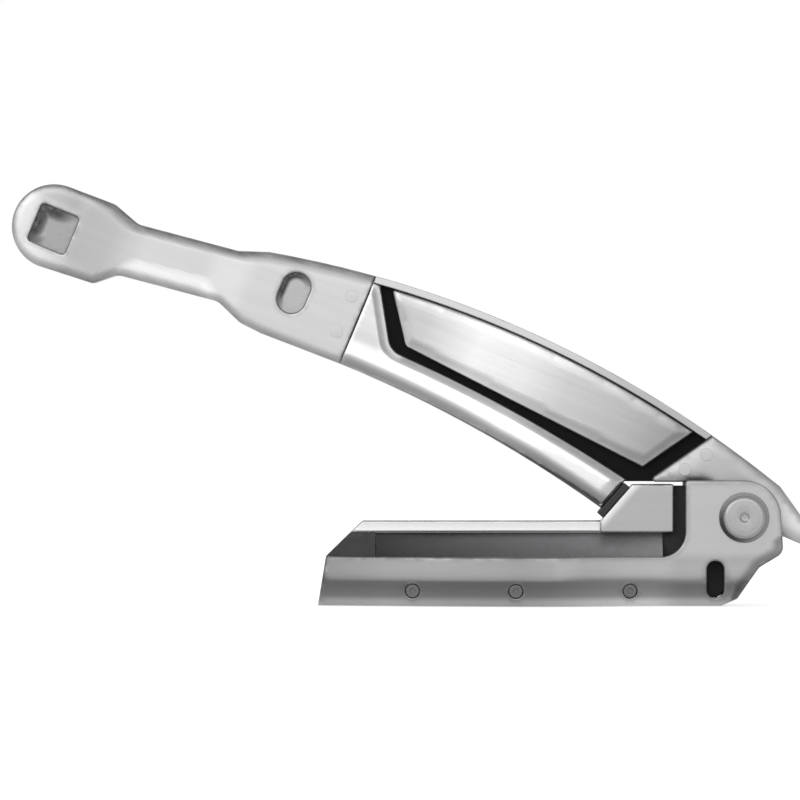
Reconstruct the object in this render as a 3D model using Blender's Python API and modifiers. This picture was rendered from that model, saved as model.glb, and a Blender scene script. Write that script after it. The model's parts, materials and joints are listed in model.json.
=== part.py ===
"""Hinged plough anchor: a curved, built-up shank that swings on a pin between the ears of a long share.

Run it with blender --background --python part.py, or from the text editor. The numbers at the top are in
millimetres and are turned into metres as each mesh is made.

-X is the toe of the share and the eye of the shank, +X the tail, +Z up, -Y the side of the pin's round
head. Share pieces measure x from the hinge axis, and z from the underside of the sole. Shank pieces measure
both from the hinge axis: x along the line from the middle of the eye to the pin, z across it.
"""

import math

import bmesh
import bpy
from mathutils import Vector

MM = 0.001

# Clearances
GAP = 0.3  # between two pieces that touch
PIN_FIT = 0.3  # all round a pin, bolt or dowel in its hole
STOP_GAP = 0.4  # between the shank and a stop that it rests on
HORN_CLEARANCE = 1.4  # under the heel, over the horn
OVERRUN = 5.0  # by which a cutter passes the faces that it cuts

# Hinge
AXIS_HEIGHT = 55.0  # above the underside of the sole
AXIS_AFT = 30.0  # from the origin, which is on the sole
REST_SLOPE = math.radians(22.7)  # of the shank's eye line, folded on its stop
OPENING = math.radians(60.0)  # from folded to the tail's stop
PIN_RADIUS = 8.0
PIN_HEAD_RADIUS = 13.5
PIN_HEAD_HEIGHT = 5.0
PIN_HEAD_ROUND = 2.8  # of the head's rim
PIN_DIMPLE = 2.5  # radius of the turning centre in the pin's head
PIN_DIMPLE_DEPTH = 0.8
PIN_POINT = 1.0  # chamfer of the pin's threaded end
WASHER_RADIUS = 15.5
WASHER_THICKNESS = 1.6
NUT_FLATS = 24.0
NUT_HEIGHT = 11.0
NUT_COLLAR = 3.0  # height of the locking collar
NUT_COLLAR_RADIUS = 10.8
PIN_TIP = 1.5  # of the pin past its nut
BUSH_WALL = 2.7
HUB_RADIUS = 21.0

# Share
TOE_REACH = 265.0  # from the hinge axis forward to the toe, at the sole
TOE_RAKE = 5.0  # by which the toe leans aft, up to the rim
CHINE_HEIGHT = 15.6
RIM_HEIGHT = 30.6
SPINE_HEIGHT = 53.0
SPINE_DEPTH = 7.4
SPINE_HALF_WIDTH = 8.0
SPINE_RAKE = 8.0  # run of the spine's sloping front end
PLATE = 5.0  # thickness of a side plate
JAW_HALF = 20.0  # from the middle to the inner face of an ear
EAR_RADIUS = 23.1
EAR_LENGTH = 36.3  # from the hinge axis forward to the ear's front edge
EAR_FILLET = 15.6
EAR_KNEE = 0.0  # where the ear's round end gives way to its straight aft edge
EAR_DROP = 22.0  # from the hinge axis down to that edge's foot
EAR_FLARE = 1.4  # by which the foot stands out past the round end
EAR_HEEL_CORNER = 7.0
EAR_COVER = 7.5  # by which the plate's aft edge passes the lug's, at its top
KICK_COVER = 1.5  # by which a side plate covers the end of the turned-up sole
PLATE_CORNER = 2.0  # rounding of a side plate's free corners
KICK_CORNER = 4.0  # the same, of its aft edge
WING_HALF_WIDTH = 40.0
WING_STATION = 120.0  # where the share is widest, forward of the hinge axis
WING_START = 42.0  # where the plates start to spread
TOE_HALF_WIDTH = 11.0
BAND_LEAN = 4.0  # by which the lower band falls in, from chine to sole
RIM_LEAN = 2.5  # by which the rim falls in, from chine to rim
SLOT_STATION = 17.8
SLOT_WIDTH = 10.6
SLOT_BOTTOM = 5.0
SLOT_TOP = 28.0
SOLE_THICKNESS = 4.5
SOLE_FLAT_END = 14.0  # where the sole turns up, forward of the hinge axis
KICK_RUN = 16.0  # along which it turns up to the vertical lug
KICK_FOOT = 8.5  # run of the first, flatter part of the turn
KICK_BEND = 5.0  # radius of its bends
LUG_CORNER = 0.8
LUG_TOP = 24.0  # of the turned-up end that stops the tail
NOSE_LENGTH = 36.0
NOSE_RUN = 15.0  # of its sloping front, from the rim up to the spine
KEEL_THICKNESS = 8.0
KEEL_AFT = 27.0  # from the hinge axis forward to the keel's upper aft edge
KEEL_HEEL = 9.5  # the same, for its low aft end
KEEL_HEEL_DROP = 25.0  # of the top of that end under the hinge axis
KEEL_NECK_RISE = 6.0  # of the keel's bend, over a line at 45 degrees through the hinge axis
KEEL_TIP_DROP = 1.0  # of the keel's tip under the horn's top
KEEL_CORNER = 5.0
KEEL_KICK_GAP = 2.0  # between the keel and the turned-up sole
HORN_RISE = 20.6  # of its top over the hinge axis
HORN_AFT = 43.0
HORN_LENGTH = 26.0
HORN_RUN = 20.0  # of its sloping front
HORN_HALF_WIDTH = 13.0
HORN_CROWN = 6.0  # of solid horn over the slot for the keel
HORN_CHEEK = 9.0  # the same, ahead of it
HORN_CORNER = 1.5
HORN_BITE = 0.3  # of the horn past the spine's faces, which it is welded to
HORN_SLOT_CORNER = 2.0
SPINE_TUCK = 2.0  # of the spine's aft end inside the horn
BUFFER_THICKNESS = 4.0
BUFFER_END = 2.5  # by which it is short of the horn's face at each end
BUFFER_SIDE = 1.0  # and at each side
BUFFER_EDGE = 0.6
MOULD_THICKNESS = 4.0
MOULD_AFT = 50.0
MOULD_DROP = 4.0  # of the mouldboard's outer edge under the rim
MOULD_CURL = 1.8  # 1 is flat, more is steeper at the spine
MOULD_ROWS = 8
CROSS_BOLT_RADIUS = 2.5
CROSS_BOLT_HEIGHT = 9.5
CROSS_BOLT_MARGIN = 23.0  # of the front one, aft of the toe ballast
CROSS_BOLT_MIDDLE = 0.526  # share of the way from the rear one to the front one
CROSS_BOLT_REAR = 71.0  # forward of the hinge axis
CROSS_BOLT_SET = 0.5  # of its plain end inside the side plate's face
CROSS_HEAD_RADIUS = 4.0
CROSS_HEAD_HEIGHT = 2.0
CROSS_HEAD_CHAMFER = 0.4
SOCKET_RADIUS = 1.9
SOCKET_DEPTH = 1.2
SPACER_WALL = 2.0
SPACER_MARGIN = 2.0  # for the slope of the side plate that it meets

# Shank
EYE_REACH = 466.2  # from the hinge axis to the middle of the eye
EYE_PAD_RADIUS = 26.5
EYE_PAD_RISE = 1.5  # of the pad's middle over the eye's
EYE_PAD_LENGTH = 30.0  # of its straight part
EYE_PAD_TOP = 1.0  # by which the straight part's top end stands over the round one
EYE_PAD_HEEL = 6.0  # by which its bottom end runs on past it
EYE_PAD_HEEL_RISE = 3.0
EYE_PAD_ROUND = 6.0
EYE_SQUARE = 25.0
EYE_CORNER = 2.5
EYE_SETBACK = 5.0  # of the block's faces inside the pad's
PAD_HALF_WIDTH = 9.0
BODY_HALF_WIDTH = 12.0
NECK_SETBACK = 48.2  # of the neck's front end aft of the eye
NECK_AHEAD = 85.0  # of the neck's aft end, forward of the joint
NECK_HEIGHT = 34.2
NECK_SLOPE = 0.138
NECK_RISE = 6.0  # of its middle line over the eye line, at its front
BODY_SHOULDER = 18.0
FLANK_RUN = 15.0  # each way from the neck's aft end, over which the pad's thickness grows to the body's
THROAT_RUN = 14.0  # from the shoulder aft to the body's lowest corner
THROAT_DROP = 1.5  # of that corner under the belly's edge at the joint
SHOULDER_DROP = 0.5  # the same, of the shoulder
HEAD_ROUND = 10.0  # of the corners of the head's outline
OVAL_AHEAD = 43.3  # forward of the joint
OVAL_RISE = 21.0
OVAL_WIDTH = 18.0
OVAL_HEIGHT = 26.0
OVAL_SETBACK = 5.0
JOINT_REACH = 269.0
TONGUE_LENGTH = 18.0
TONGUE_MARGIN = 9.0
BACK_RADIUS = 680.0
BACK_STATION = 184.5
BACK_HEIGHT = 55.6
BELLY_RADIUS = 789.0
BELLY_STATION = 262.0
BELLY_HEIGHT = -8.7
WEB_THICKNESS = 8.0
WEB_SETBACK = 1.5  # of its lower edge inside the rails'
CHEEK_HALF_WIDTH = 12.0
RAIL_HALF_WIDTH = 13.0
RAIL_RADIUS = 980.0
RAIL_DEPTH = 20.2  # where its two edges are level
LEG_WIDTH = 4.5  # of the rail's upturned front leg, at its top
LEG_RUN = 21.5
LEG_CORNER = 12.0
CROWN_THICKNESS = 4.2
GROOVE_FRONT = 6.4  # width of the dark groove between rail and cheek
GROOVE_AFT = 11.2
CHEEK_CORNER = 5.0
TIP_CORNER = 1.5  # of the cheeks' and rails' sharper corners
HEEL_GROOVE = 8.5
HEEL_STATION = 62.5
HEEL_LEAN = math.radians(57.3)
HEEL_HALF_WIDTH = 14.0
HEEL_SLOT_END = 28.0
HEEL_TOE_CORNER = 2.0
HEEL_THROAT = 6.0  # radius where its underside meets the hub
HUB_INSET = 0.01  # keeps the hub's round face off the heel's own
TAIL_REACH = 44.0
TAIL_TOP = 15.5
TAIL_NOSE = 8.0
TAIL_NOSE_RADIUS = 6.0
TAIL_BACK_RADIUS = 10.0
TAIL_FOOT_RADIUS = 3.0
HEEL_SHOULDER = 18.0
DOWEL_RADIUS = 3.0
DOWEL_BITE = 4.5  # into each cheek or rail
CHEEK_DOWEL_MARGIN = 54.0  # of the front one, aft of the joint
CHEEK_DOWEL_AFT = 95.0
RAIL_DOWEL_MARGIN = 44.0
RAIL_DOWEL_AFT = 125.0
RIVET_RADIUS = 4.0
HEAD_RIVET_SPREAD = 12.0  # of each from the middle of the tongue
HEEL_RIVET_MARGIN = 7.5  # of each, aft of the heel's front face
HEEL_RIVET_PLACES = {"lower": 0.32, "upper": 0.7}  # share of the way from the heel's underside to its back

ROUND_STEPS = 28
SMALL_STEPS = 14  # round fasteners and their holes
ARC_STEP = math.radians(20.0)
FLAT_TURN = math.radians(8.0)  # a corner that turns less than this isn't rounded
MOST_OF_EDGE = 0.48  # that one rounded corner takes
MERGE = 0.00001  # metres
STATION_STEP = 12.0
FLANK_STEP = 6.0
SOFT_EDGE = 1.2

# Sizes that follow from the ones above
EAR_OUTER = JAW_HALF + PLATE
EAR_TOP = AXIS_HEIGHT + EAR_RADIUS
HUB_HALF_WIDTH = JAW_HALF - WASHER_THICKNESS - 2 * GAP
WASHER_FACE = EAR_OUTER + GAP + WASHER_THICKNESS + GAP
KEEL_HALF = KEEL_THICKNESS / 2
WEB_HALF = WEB_THICKNESS / 2
SPINE_BASE = SPINE_HEIGHT - SPINE_DEPTH
HORN_TOP = AXIS_HEIGHT + HORN_RISE
HORN_HEIGHT = HORN_TOP - SPINE_HEIGHT
HORN_FRONT = -HORN_AFT - HORN_LENGTH
HORN_FOOT = HORN_FRONT - HORN_RUN
HORN_FACE = math.atan2(HORN_HEIGHT, HORN_RUN)
HEEL_UNDERSIDE = HORN_RISE + HORN_CLEARANCE
NOSE_BACK = -TOE_REACH + NOSE_LENGTH
NOSE_TIP = -TOE_REACH + TOE_RAKE + NOSE_RUN
LUG_AFT = -SOLE_FLAT_END + KICK_RUN
NECK_FRONT = EYE_REACH - NECK_SETBACK
NECK_BACK = JOINT_REACH + NECK_AHEAD
OVAL_REACH = JOINT_REACH + OVAL_AHEAD


def between(aft, front, share=0.5):
    return aft + (front - aft) * share


CROSS_BOLT_FRONT = -NOSE_BACK - CROSS_BOLT_MARGIN
CROSS_BOLTS = {
    "front": CROSS_BOLT_FRONT,
    "middle": between(CROSS_BOLT_REAR, CROSS_BOLT_FRONT, CROSS_BOLT_MIDDLE),
    "rear": CROSS_BOLT_REAR,
}
CHEEK_DOWEL_FRONT = JOINT_REACH - CHEEK_DOWEL_MARGIN
CHEEK_DOWELS = {
    "front": CHEEK_DOWEL_FRONT,
    "middle": between(CHEEK_DOWEL_AFT, CHEEK_DOWEL_FRONT),
    "aft": CHEEK_DOWEL_AFT,
}
RAIL_DOWEL_FRONT = JOINT_REACH - RAIL_DOWEL_MARGIN
RAIL_DOWELS = {
    "front": RAIL_DOWEL_FRONT,
    "middle": between(RAIL_DOWEL_AFT, RAIL_DOWEL_FRONT),
    "aft": RAIL_DOWEL_AFT,
}


def smooth_step(value):
    value = min(max(value, 0.0), 1.0)
    return value * value * (3 - 2 * value)


# Outlines


def filleted(corners):
    """Points round a closed outline. A corner is (x, z), or (x, z, radius) to round it with an arc."""
    points = []
    for index, corner in enumerate(corners):
        here = Vector(corner[:2])
        radius = corner[2] if len(corner) > 2 else 0.0
        before = Vector(corners[index - 1][:2]) - here
        after = Vector(corners[(index + 1) % len(corners)][:2]) - here
        turn = before.angle(after)
        if radius <= 0 or turn > math.pi - FLAT_TURN:
            points.append(tuple(here))
            continue
        room = MOST_OF_EDGE * min(before.length, after.length)
        cut_back = min(radius / math.tan(turn / 2), room)
        bisector = (before.normalized() + after.normalized()).normalized()
        middle = here + bisector * cut_back / math.cos(turn / 2)
        first = here + before.normalized() * cut_back - middle
        last = here + after.normalized() * cut_back - middle
        start = math.atan2(first.y, first.x)
        sweep = (math.atan2(last.y, last.x) - start + math.pi) % math.tau - math.pi
        points += arc(middle.x, middle.y, first.length, start, start + sweep)
    return points


def arc(x, z, radius, start, end):
    steps = max(2, round(abs(end - start) / ARC_STEP))
    angles = [start + (end - start) * step / steps for step in range(steps + 1)]
    return [(x + radius * math.cos(angle), z + radius * math.sin(angle)) for angle in angles]


def along(edge, start, end, drop=0.0):
    """Points of a curved edge z = edge(x) - drop, from x = start to x = end."""
    steps = max(1, round(abs(end - start) / STATION_STEP))
    stations = [start + (end - start) * index / steps for index in range(steps + 1)]
    return [(x, edge(x) - drop) for x in stations]


def meet(point, angle, edge, drop=0.0):
    """Where the line through a point at an angle meets the edge z = edge(x) - drop."""
    x = point[0]
    for _ in range(30):
        x = point[0] + (edge(x) - drop - point[1]) / math.tan(angle)
    return (x, edge(x) - drop)


def beside(point, angle, distance):
    """The point moved by a distance to the left of a line at this angle."""
    return (point[0] - distance * math.sin(angle), point[1] + distance * math.cos(angle))


def to_shank(x, z, slope=REST_SLOPE):
    """A place given from the hinge axis in the share's directions, in the shank's at this slope."""
    return (
        x * math.cos(slope) - z * math.sin(slope),
        x * math.sin(slope) + z * math.cos(slope),
    )


def crossing(first, first_angle, second, second_angle):
    """Where a line through first meets a line through second, each at its own angle."""
    reach_x, reach_z = second[0] - first[0], second[1] - first[1]
    across = math.sin(second_angle - first_angle)
    length = (reach_x * math.sin(second_angle) - reach_z * math.cos(second_angle)) / across
    return (first[0] + length * math.cos(first_angle), first[1] + length * math.sin(first_angle))


def inner_corner(before, corner, after, distance):
    """The corner between two lines at these angles, after both are moved to their left by a distance."""
    return crossing(beside(corner, before, distance), before, beside(corner, after, distance), after)


def obround(x, low, high, width):
    half = width / 2
    top = arc(x, high - half, half, 0.0, math.pi)
    bottom = arc(x, low + half, half, math.pi, math.tau)
    return top + bottom


# Scene and materials


def new_collection(name):
    collection = bpy.data.collections.new(name)
    bpy.context.scene.collection.children.link(collection)
    return collection


def clear_scene():
    for obj in list(bpy.data.objects):
        bpy.data.objects.remove(obj)


clear_scene()
PARTS = new_collection("plow_anchor")
CUTTERS = new_collection("cutters")


def metal(name, grey, roughness, metallic=1.0, tint=(1.0, 1.0, 1.0)):
    material = bpy.data.materials.new(name)
    material.use_nodes = True
    shader = material.node_tree.nodes["Principled BSDF"]
    colour = [grey * part for part in tint]
    shader.inputs["Base Color"].default_value = (*colour, 1.0)
    shader.inputs["Roughness"].default_value = roughness
    shader.inputs["Metallic"].default_value = metallic
    material.diffuse_color = (*colour, 1.0)
    return material


POLISHED = metal("polished_steel", 0.72, 0.25)
SATIN = metal("satin_steel", 0.6, 0.38)
PLATED = metal("side_plate_steel", 0.55, 0.4)
DARK = metal("dark_mouldboard_steel", 0.16, 0.5)
BLACK = metal("blackened_steel", 0.04, 0.6, 0.6)
BRONZE = metal("bronze", 0.5, 0.35, 1.0, (1.0, 0.78, 0.5))
RUBBER = metal("black_rubber", 0.03, 0.8, 0.0)
BRIGHT = metal("fastener_steel", 0.5, 0.3)


def place(obj, parent, material=None, collection=PARTS):
    collection.objects.link(obj)
    obj.parent = parent
    if material:
        obj.data.materials.clear()
        obj.data.materials.append(material)
    if collection is CUTTERS:
        obj.hide_render = True
        obj.display_type = "WIRE"
    return obj


def empty(name, x, z, slope=0.0):
    obj = bpy.data.objects.new(name, None)
    PARTS.objects.link(obj)
    obj.location = (x * MM, 0.0, z * MM)
    obj.rotation_euler = (0.0, slope, 0.0)
    return obj


# Shapes


def turning(outline):
    """Twice the area of a closed outline: positive where it runs anticlockwise."""
    after = outline[1:] + outline[:1]
    return sum(here[0] * next_one[1] - next_one[0] * here[1] for here, next_one in zip(outline, after))


def flat_mesh(name, outline, low, high):
    """The mesh of a flat outline in XZ, from y = low to y = high, with its faces outwards."""
    if turning(outline) < 0:
        outline = outline[::-1]
    count = len(outline)
    points = [(x * MM, y * MM, z * MM) for y in (low, high) for x, z in outline]
    faces = [list(range(count)), list(range(2 * count - 1, count - 1, -1))]
    for here in range(count):
        after = (here + 1) % count
        faces.append([after, here, here + count, after + count])
    mesh = bpy.data.meshes.new(name)
    mesh.from_pydata(points, [], faces)
    return mesh


def plate(name, outline, low, high, parent, material=None, collection=PARTS, soft=0.0):
    obj = bpy.data.objects.new(name, flat_mesh(name, outline, low, high))
    place(obj, parent, material, collection)
    if soft:
        soften(obj, soft)
    return obj


def formed_plate(name, outline, near, far, parent, material, stations, heights=()):
    """A flat outline in XZ, formed so that its two faces lie at y = near(x, z) and y = far(x, z). They
    bend only at these stations and heights."""
    mesh = flat_mesh(name, outline, -1.0, 1.0)
    shape = bmesh.new()
    shape.from_mesh(mesh)
    for station in stations:
        slice_at(shape, (station, 0.0, 0.0), (1.0, 0.0, 0.0))
    for height in heights:
        slice_at(shape, (0.0, 0.0, height), (0.0, 0.0, 1.0))
    for vert in shape.verts:
        face = near if vert.co.y < 0 else far
        vert.co.y = face(vert.co.x / MM, vert.co.z / MM) * MM
    if heights:
        bmesh.ops.triangulate(shape, faces=shape.faces)
    shape.to_mesh(mesh)
    shape.free()
    return place(bpy.data.objects.new(name, mesh), parent, material)


def spaced(start, end, step=STATION_STEP):
    """Numbers at most a step apart, from start to end."""
    steps = max(1, math.ceil(abs(end - start) / step))
    return [start + (end - start) * index / steps for index in range(steps + 1)]


def slice_at(shape, where, normal):
    everything = shape.verts[:] + shape.edges[:] + shape.faces[:]
    where = [value * MM for value in where]
    bmesh.ops.bisect_plane(shape, geom=everything, dist=MERGE, plane_co=where, plane_no=normal)


def turned(name, profile, closed, parent, material, x, y, z, steps=ROUND_STEPS):
    """A round piece about Y. The profile is (radius, height) pairs, top first, with its top at -Y."""
    mesh = bpy.data.meshes.new(name)
    points = [(radius * MM, 0.0, height * MM) for radius, height in profile]
    edges = [(index, index + 1) for index in range(len(points) - 1)]
    if closed:
        edges.append((len(points) - 1, 0))
    mesh.from_pydata(points, edges, [])
    obj = place(bpy.data.objects.new(name, mesh), parent, material)
    obj.location = (x * MM, y * MM, z * MM)
    obj.rotation_euler = (math.pi / 2, 0.0, 0.0)
    screw = obj.modifiers.new("turn", "SCREW")
    screw.steps = steps
    screw.render_steps = steps
    screw.use_merge_vertices = True
    screw.merge_threshold = MERGE
    return obj


def ring(name, inner, outer, thickness, parent, material, x, y, z, steps=ROUND_STEPS):
    """A washer, bush or spacer with its middle at y."""
    half = thickness / 2
    profile = [(inner, half), (outer, half), (outer, -half), (inner, -half)]
    return turned(name, profile, True, parent, material, x, y, z, steps)


def rod(name, radius, low, high, parent, material, x, z, sides=ROUND_STEPS, collection=PARTS):
    """A cylinder or prism along Y."""
    mesh = bpy.data.meshes.new(name)
    shape = bmesh.new()
    bmesh.ops.create_cone(
        shape,
        cap_ends=True,
        segments=sides,
        radius1=radius * MM,
        radius2=radius * MM,
        depth=(high - low) * MM,
    )
    shape.to_mesh(mesh)
    shape.free()
    obj = place(bpy.data.objects.new(name, mesh), parent, material, collection)
    obj.location = (x * MM, (low + high) / 2 * MM, z * MM)
    obj.rotation_euler = (math.pi / 2, 0.0, 0.0)
    return obj


def soften(obj, width):
    bevel = obj.modifiers.new("soft edges", "BEVEL")
    bevel.width = width * MM
    bevel.segments = 2
    bevel.limit_method = "ANGLE"
    bevel.angle_limit = math.radians(50)


def change(obj, other, operation):
    step = obj.modifiers.new(operation.lower(), "BOOLEAN")
    step.operation = operation
    step.object = other
    step.solver = "EXACT"


def bore(obj, label, radius, x, z, low, high, steps=SMALL_STEPS):
    """A round hole along Y through obj, from y = low to y = high."""
    tool = rod(f"{obj.name}_{label}", radius, low, high, obj.parent, None, x, z, steps, CUTTERS)
    change(obj, tool, "DIFFERENCE")


def pocket(obj, label, outline, low, high):
    """A hole along Y with a flat outline, from y = low to y = high."""
    tool = plate(f"{obj.name}_{label}", outline, low, high, obj.parent, None, CUTTERS)
    change(obj, tool, "DIFFERENCE")


# The share's lines


def spread(x):
    """0 at the ears and 1 where the share is widest, and on to its toe."""
    return smooth_step((-x - WING_START) / (WING_STATION - WING_START))


def plan_half_width(x):
    """Half the share's breadth at its chine."""
    if x > -WING_STATION:
        return EAR_OUTER + (WING_HALF_WIDTH - EAR_OUTER) * spread(x)
    share = max((x + TOE_REACH) / (TOE_REACH - WING_STATION), 0.0)
    return TOE_HALF_WIDTH + (WING_HALF_WIDTH - TOE_HALF_WIDTH) * math.sin(share * math.pi / 2)


def side_y(x, z):
    """Outer face of a side plate: it falls in below the chine, and above it where the share is wide."""
    below = BAND_LEAN * max(CHINE_HEIGHT - z, 0.0) / CHINE_HEIGHT
    above = RIM_LEAN * min(max(z - CHINE_HEIGHT, 0.0) / (RIM_HEIGHT - CHINE_HEIGHT), 1.0)
    return plan_half_width(x) - below - above * spread(x)


def inner_y(x, z):
    """Inner face of a side plate."""
    return side_y(x, z) - PLATE


def filling_y(x, z):
    """Side of a piece that fits between the side plates."""
    return inner_y(x, z) - GAP


FORM_HEIGHTS = (CHINE_HEIGHT, RIM_HEIGHT)
SHARE_STATIONS = spaced(-TOE_REACH + STATION_STEP, -WING_START)


def slot_front(z):
    """x of the front of the keel's slot in the horn, at a height."""
    return HORN_FOOT + HORN_CHEEK + (z - SPINE_HEIGHT) * HORN_RUN / HORN_HEIGHT


# Corners of the turned-up sole's outer face, and the lines between them
KICK_START = (-SOLE_FLAT_END, 0.0)
KICK_KNEE = (-SOLE_FLAT_END + KICK_FOOT, SOLE_THICKNESS)
KICK_TOP = (LUG_AFT, CHINE_HEIGHT)
KICK_SLOPE = math.atan2(KICK_KNEE[1] - KICK_START[1], KICK_KNEE[0] - KICK_START[0])
KICK_STEEP = math.atan2(KICK_TOP[1] - KICK_KNEE[1], KICK_TOP[0] - KICK_KNEE[0])


# The share


def make_side_plate(parent, name, side):
    forward = [
        (-TOE_REACH, 0.0),
        (-TOE_REACH + TOE_RAKE, RIM_HEIGHT, PLATE_CORNER),
        (-EAR_LENGTH, RIM_HEIGHT, EAR_FILLET),
        (-EAR_LENGTH, EAR_TOP, PLATE_CORNER),
    ]
    round_end = arc(0.0, AXIS_HEIGHT, EAR_RADIUS, math.pi / 2, EAR_KNEE)
    aft = [
        (EAR_RADIUS + EAR_FLARE, AXIS_HEIGHT - EAR_DROP, EAR_HEEL_CORNER),
        (LUG_AFT + EAR_COVER, LUG_TOP, KICK_CORNER),
        (KICK_TOP[0] + KICK_COVER, KICK_TOP[1], KICK_CORNER),
        (KICK_KNEE[0] + KICK_COVER, KICK_KNEE[1], KICK_CORNER),
        KICK_START,
    ]
    outline = filleted(forward + round_end + aft)

    def outer(x, z):
        return side * side_y(x, z)

    def inner(x, z):
        return side * inner_y(x, z)

    near, far = (outer, inner) if side < 0 else (inner, outer)
    obj = formed_plate(name, outline, near, far, parent, PLATED, SHARE_STATIONS, FORM_HEIGHTS)
    reach = WING_HALF_WIDTH + PLATE
    low, high = sorted((0.0, side * reach))
    bore(obj, "pin_bore", PIN_RADIUS + PIN_FIT, 0.0, AXIS_HEIGHT, low, high, ROUND_STEPS)
    pocket(obj, "slot", obround(-SLOT_STATION, SLOT_BOTTOM, SLOT_TOP, SLOT_WIDTH), low, high)
    for label, station in CROSS_BOLTS.items():
        seat = side_y(-station, CROSS_BOLT_HEIGHT) - CROSS_HEAD_HEIGHT - GAP
        bore(obj, f"hole_{label}", CROSS_BOLT_RADIUS + PIN_FIT, -station, CROSS_BOLT_HEIGHT, low, high)
        low_seat, high_seat = sorted((side * seat, side * reach))
        bore(
            obj,
            f"seat_{label}",
            CROSS_HEAD_RADIUS + PIN_FIT,
            -station,
            CROSS_BOLT_HEIGHT,
            low_seat,
            high_seat,
        )


def make_keel_web(parent):
    base = SOLE_THICKNESS + GAP
    top = SPINE_BASE - GAP
    slot_top = HORN_TOP - HORN_CROWN - GAP
    outline = filleted(
        [
            (NOSE_BACK + GAP, base),
            (NOSE_BACK + GAP, top),
            (slot_front(top) + 2 * GAP, top),
            (slot_front(slot_top) + 2 * GAP, slot_top, HORN_SLOT_CORNER),
            (-HORN_AFT + GAP, slot_top),
            (-HORN_AFT + GAP, HORN_TOP - KEEL_TIP_DROP),
            (-KEEL_AFT, HORN_TOP - KEEL_TIP_DROP, KEEL_CORNER),
            (-KEEL_AFT, AXIS_HEIGHT - KEEL_AFT + KEEL_NECK_RISE, KEEL_CORNER),
            (-KEEL_HEEL, AXIS_HEIGHT - KEEL_HEEL_DROP, KEEL_CORNER),
            (-KEEL_HEEL, base + SOLE_THICKNESS + KEEL_KICK_GAP),
            (-SOLE_FLAT_END - KEEL_KICK_GAP, base),
        ]
    )
    web = plate("keel_web", outline, -KEEL_HALF, KEEL_HALF, parent, BLACK)
    for label, station in CROSS_BOLTS.items():
        radius = CROSS_BOLT_RADIUS + PIN_FIT
        bore(web, f"hole_{label}", radius, -station, CROSS_BOLT_HEIGHT, -KEEL_THICKNESS, KEEL_THICKNESS)


def make_horn_spine(parent):
    spine = [
        (NOSE_TIP, SPINE_BASE),
        (NOSE_TIP + SPINE_RAKE, SPINE_HEIGHT, PLATE_CORNER),
        (-HORN_AFT - SPINE_TUCK, SPINE_HEIGHT),
        (-HORN_AFT - SPINE_TUCK, SPINE_BASE),
    ]
    obj = plate("horn_spine", filleted(spine), -SPINE_HALF_WIDTH, SPINE_HALF_WIDTH, parent, SATIN)
    horn = [
        (HORN_FOOT, SPINE_HEIGHT - HORN_BITE),
        (HORN_FRONT, HORN_TOP, HORN_CORNER),
        (-HORN_AFT, HORN_TOP, HORN_CORNER),
        (-HORN_AFT, SPINE_BASE - HORN_BITE, HORN_CORNER),
        (HORN_FOOT, SPINE_BASE - HORN_BITE, HORN_CORNER),
    ]
    block = plate(
        "horn_spine_block",
        filleted(horn),
        -HORN_HALF_WIDTH,
        HORN_HALF_WIDTH,
        parent,
        None,
        CUTTERS,
    )
    change(obj, block, "UNION")
    below = SPINE_BASE - OVERRUN
    slot_top = HORN_TOP - HORN_CROWN
    slot = [
        (slot_front(below), below),
        (slot_front(slot_top), slot_top, HORN_SLOT_CORNER),
        (-HORN_AFT + OVERRUN, slot_top),
        (-HORN_AFT + OVERRUN, below),
    ]
    pocket(obj, "keel_slot", filleted(slot), -KEEL_HALF - GAP, KEEL_HALF + GAP)


def make_mouldboard(parent, name, side):
    """A concave sheet from the spine down to the rim. u runs aft, v out from the keel."""
    columns = round((NOSE_BACK - (-MOULD_AFT)) / -STATION_STEP)
    shape = bmesh.new()
    bmesh.ops.create_grid(shape, x_segments=columns, y_segments=MOULD_ROWS, size=0.5)
    front = NOSE_BACK + GAP
    edge = RIM_HEIGHT - MOULD_DROP
    top = SPINE_BASE - GAP
    for vert in shape.verts:
        u, v = vert.co.x + 0.5, vert.co.y + 0.5
        x = front + (-MOULD_AFT - front) * u
        inboard = KEEL_HALF + GAP
        y = inboard + (filling_y(x, edge) - 2 * GAP - inboard) * v
        z = edge + (top - edge) * (1 - v) ** MOULD_CURL
        vert.co = (x * MM, side * y * MM, z * MM)
    upper = shape.faces[:]
    lower = bmesh.ops.extrude_face_region(shape, geom=upper)["geom"]
    for vert in lower:
        if isinstance(vert, bmesh.types.BMVert):
            vert.co.z -= MOULD_THICKNESS * MM
    bmesh.ops.recalc_face_normals(shape, faces=shape.faces)
    mesh = bpy.data.meshes.new(name)
    shape.to_mesh(mesh)
    shape.free()
    place(bpy.data.objects.new(name, mesh), parent, DARK)


def make_sole_plate(parent):
    """A flat sole whose aft end turns up inside the ears into the lug that stops the tail."""
    thick = SOLE_THICKNESS
    outline = filleted(
        [
            (NOSE_BACK + GAP, 0.0),
            KICK_START,
            (*KICK_KNEE, KICK_BEND),
            (*KICK_TOP, KICK_BEND),
            (LUG_AFT, LUG_TOP, LUG_CORNER),
            (LUG_AFT - thick, LUG_TOP, LUG_CORNER),
            (*inner_corner(KICK_STEEP, KICK_TOP, math.pi / 2, thick), KICK_BEND),
            (*inner_corner(KICK_SLOPE, KICK_KNEE, KICK_STEEP, thick), KICK_BEND),
            (*inner_corner(0.0, KICK_START, KICK_SLOPE, thick), KICK_BEND),
            (NOSE_BACK + GAP, thick),
        ]
    )

    def near(x, z):
        return -filling_y(x, z)

    formed_plate("sole_plate", outline, near, filling_y, parent, PLATED, SHARE_STATIONS, FORM_HEIGHTS)


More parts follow.
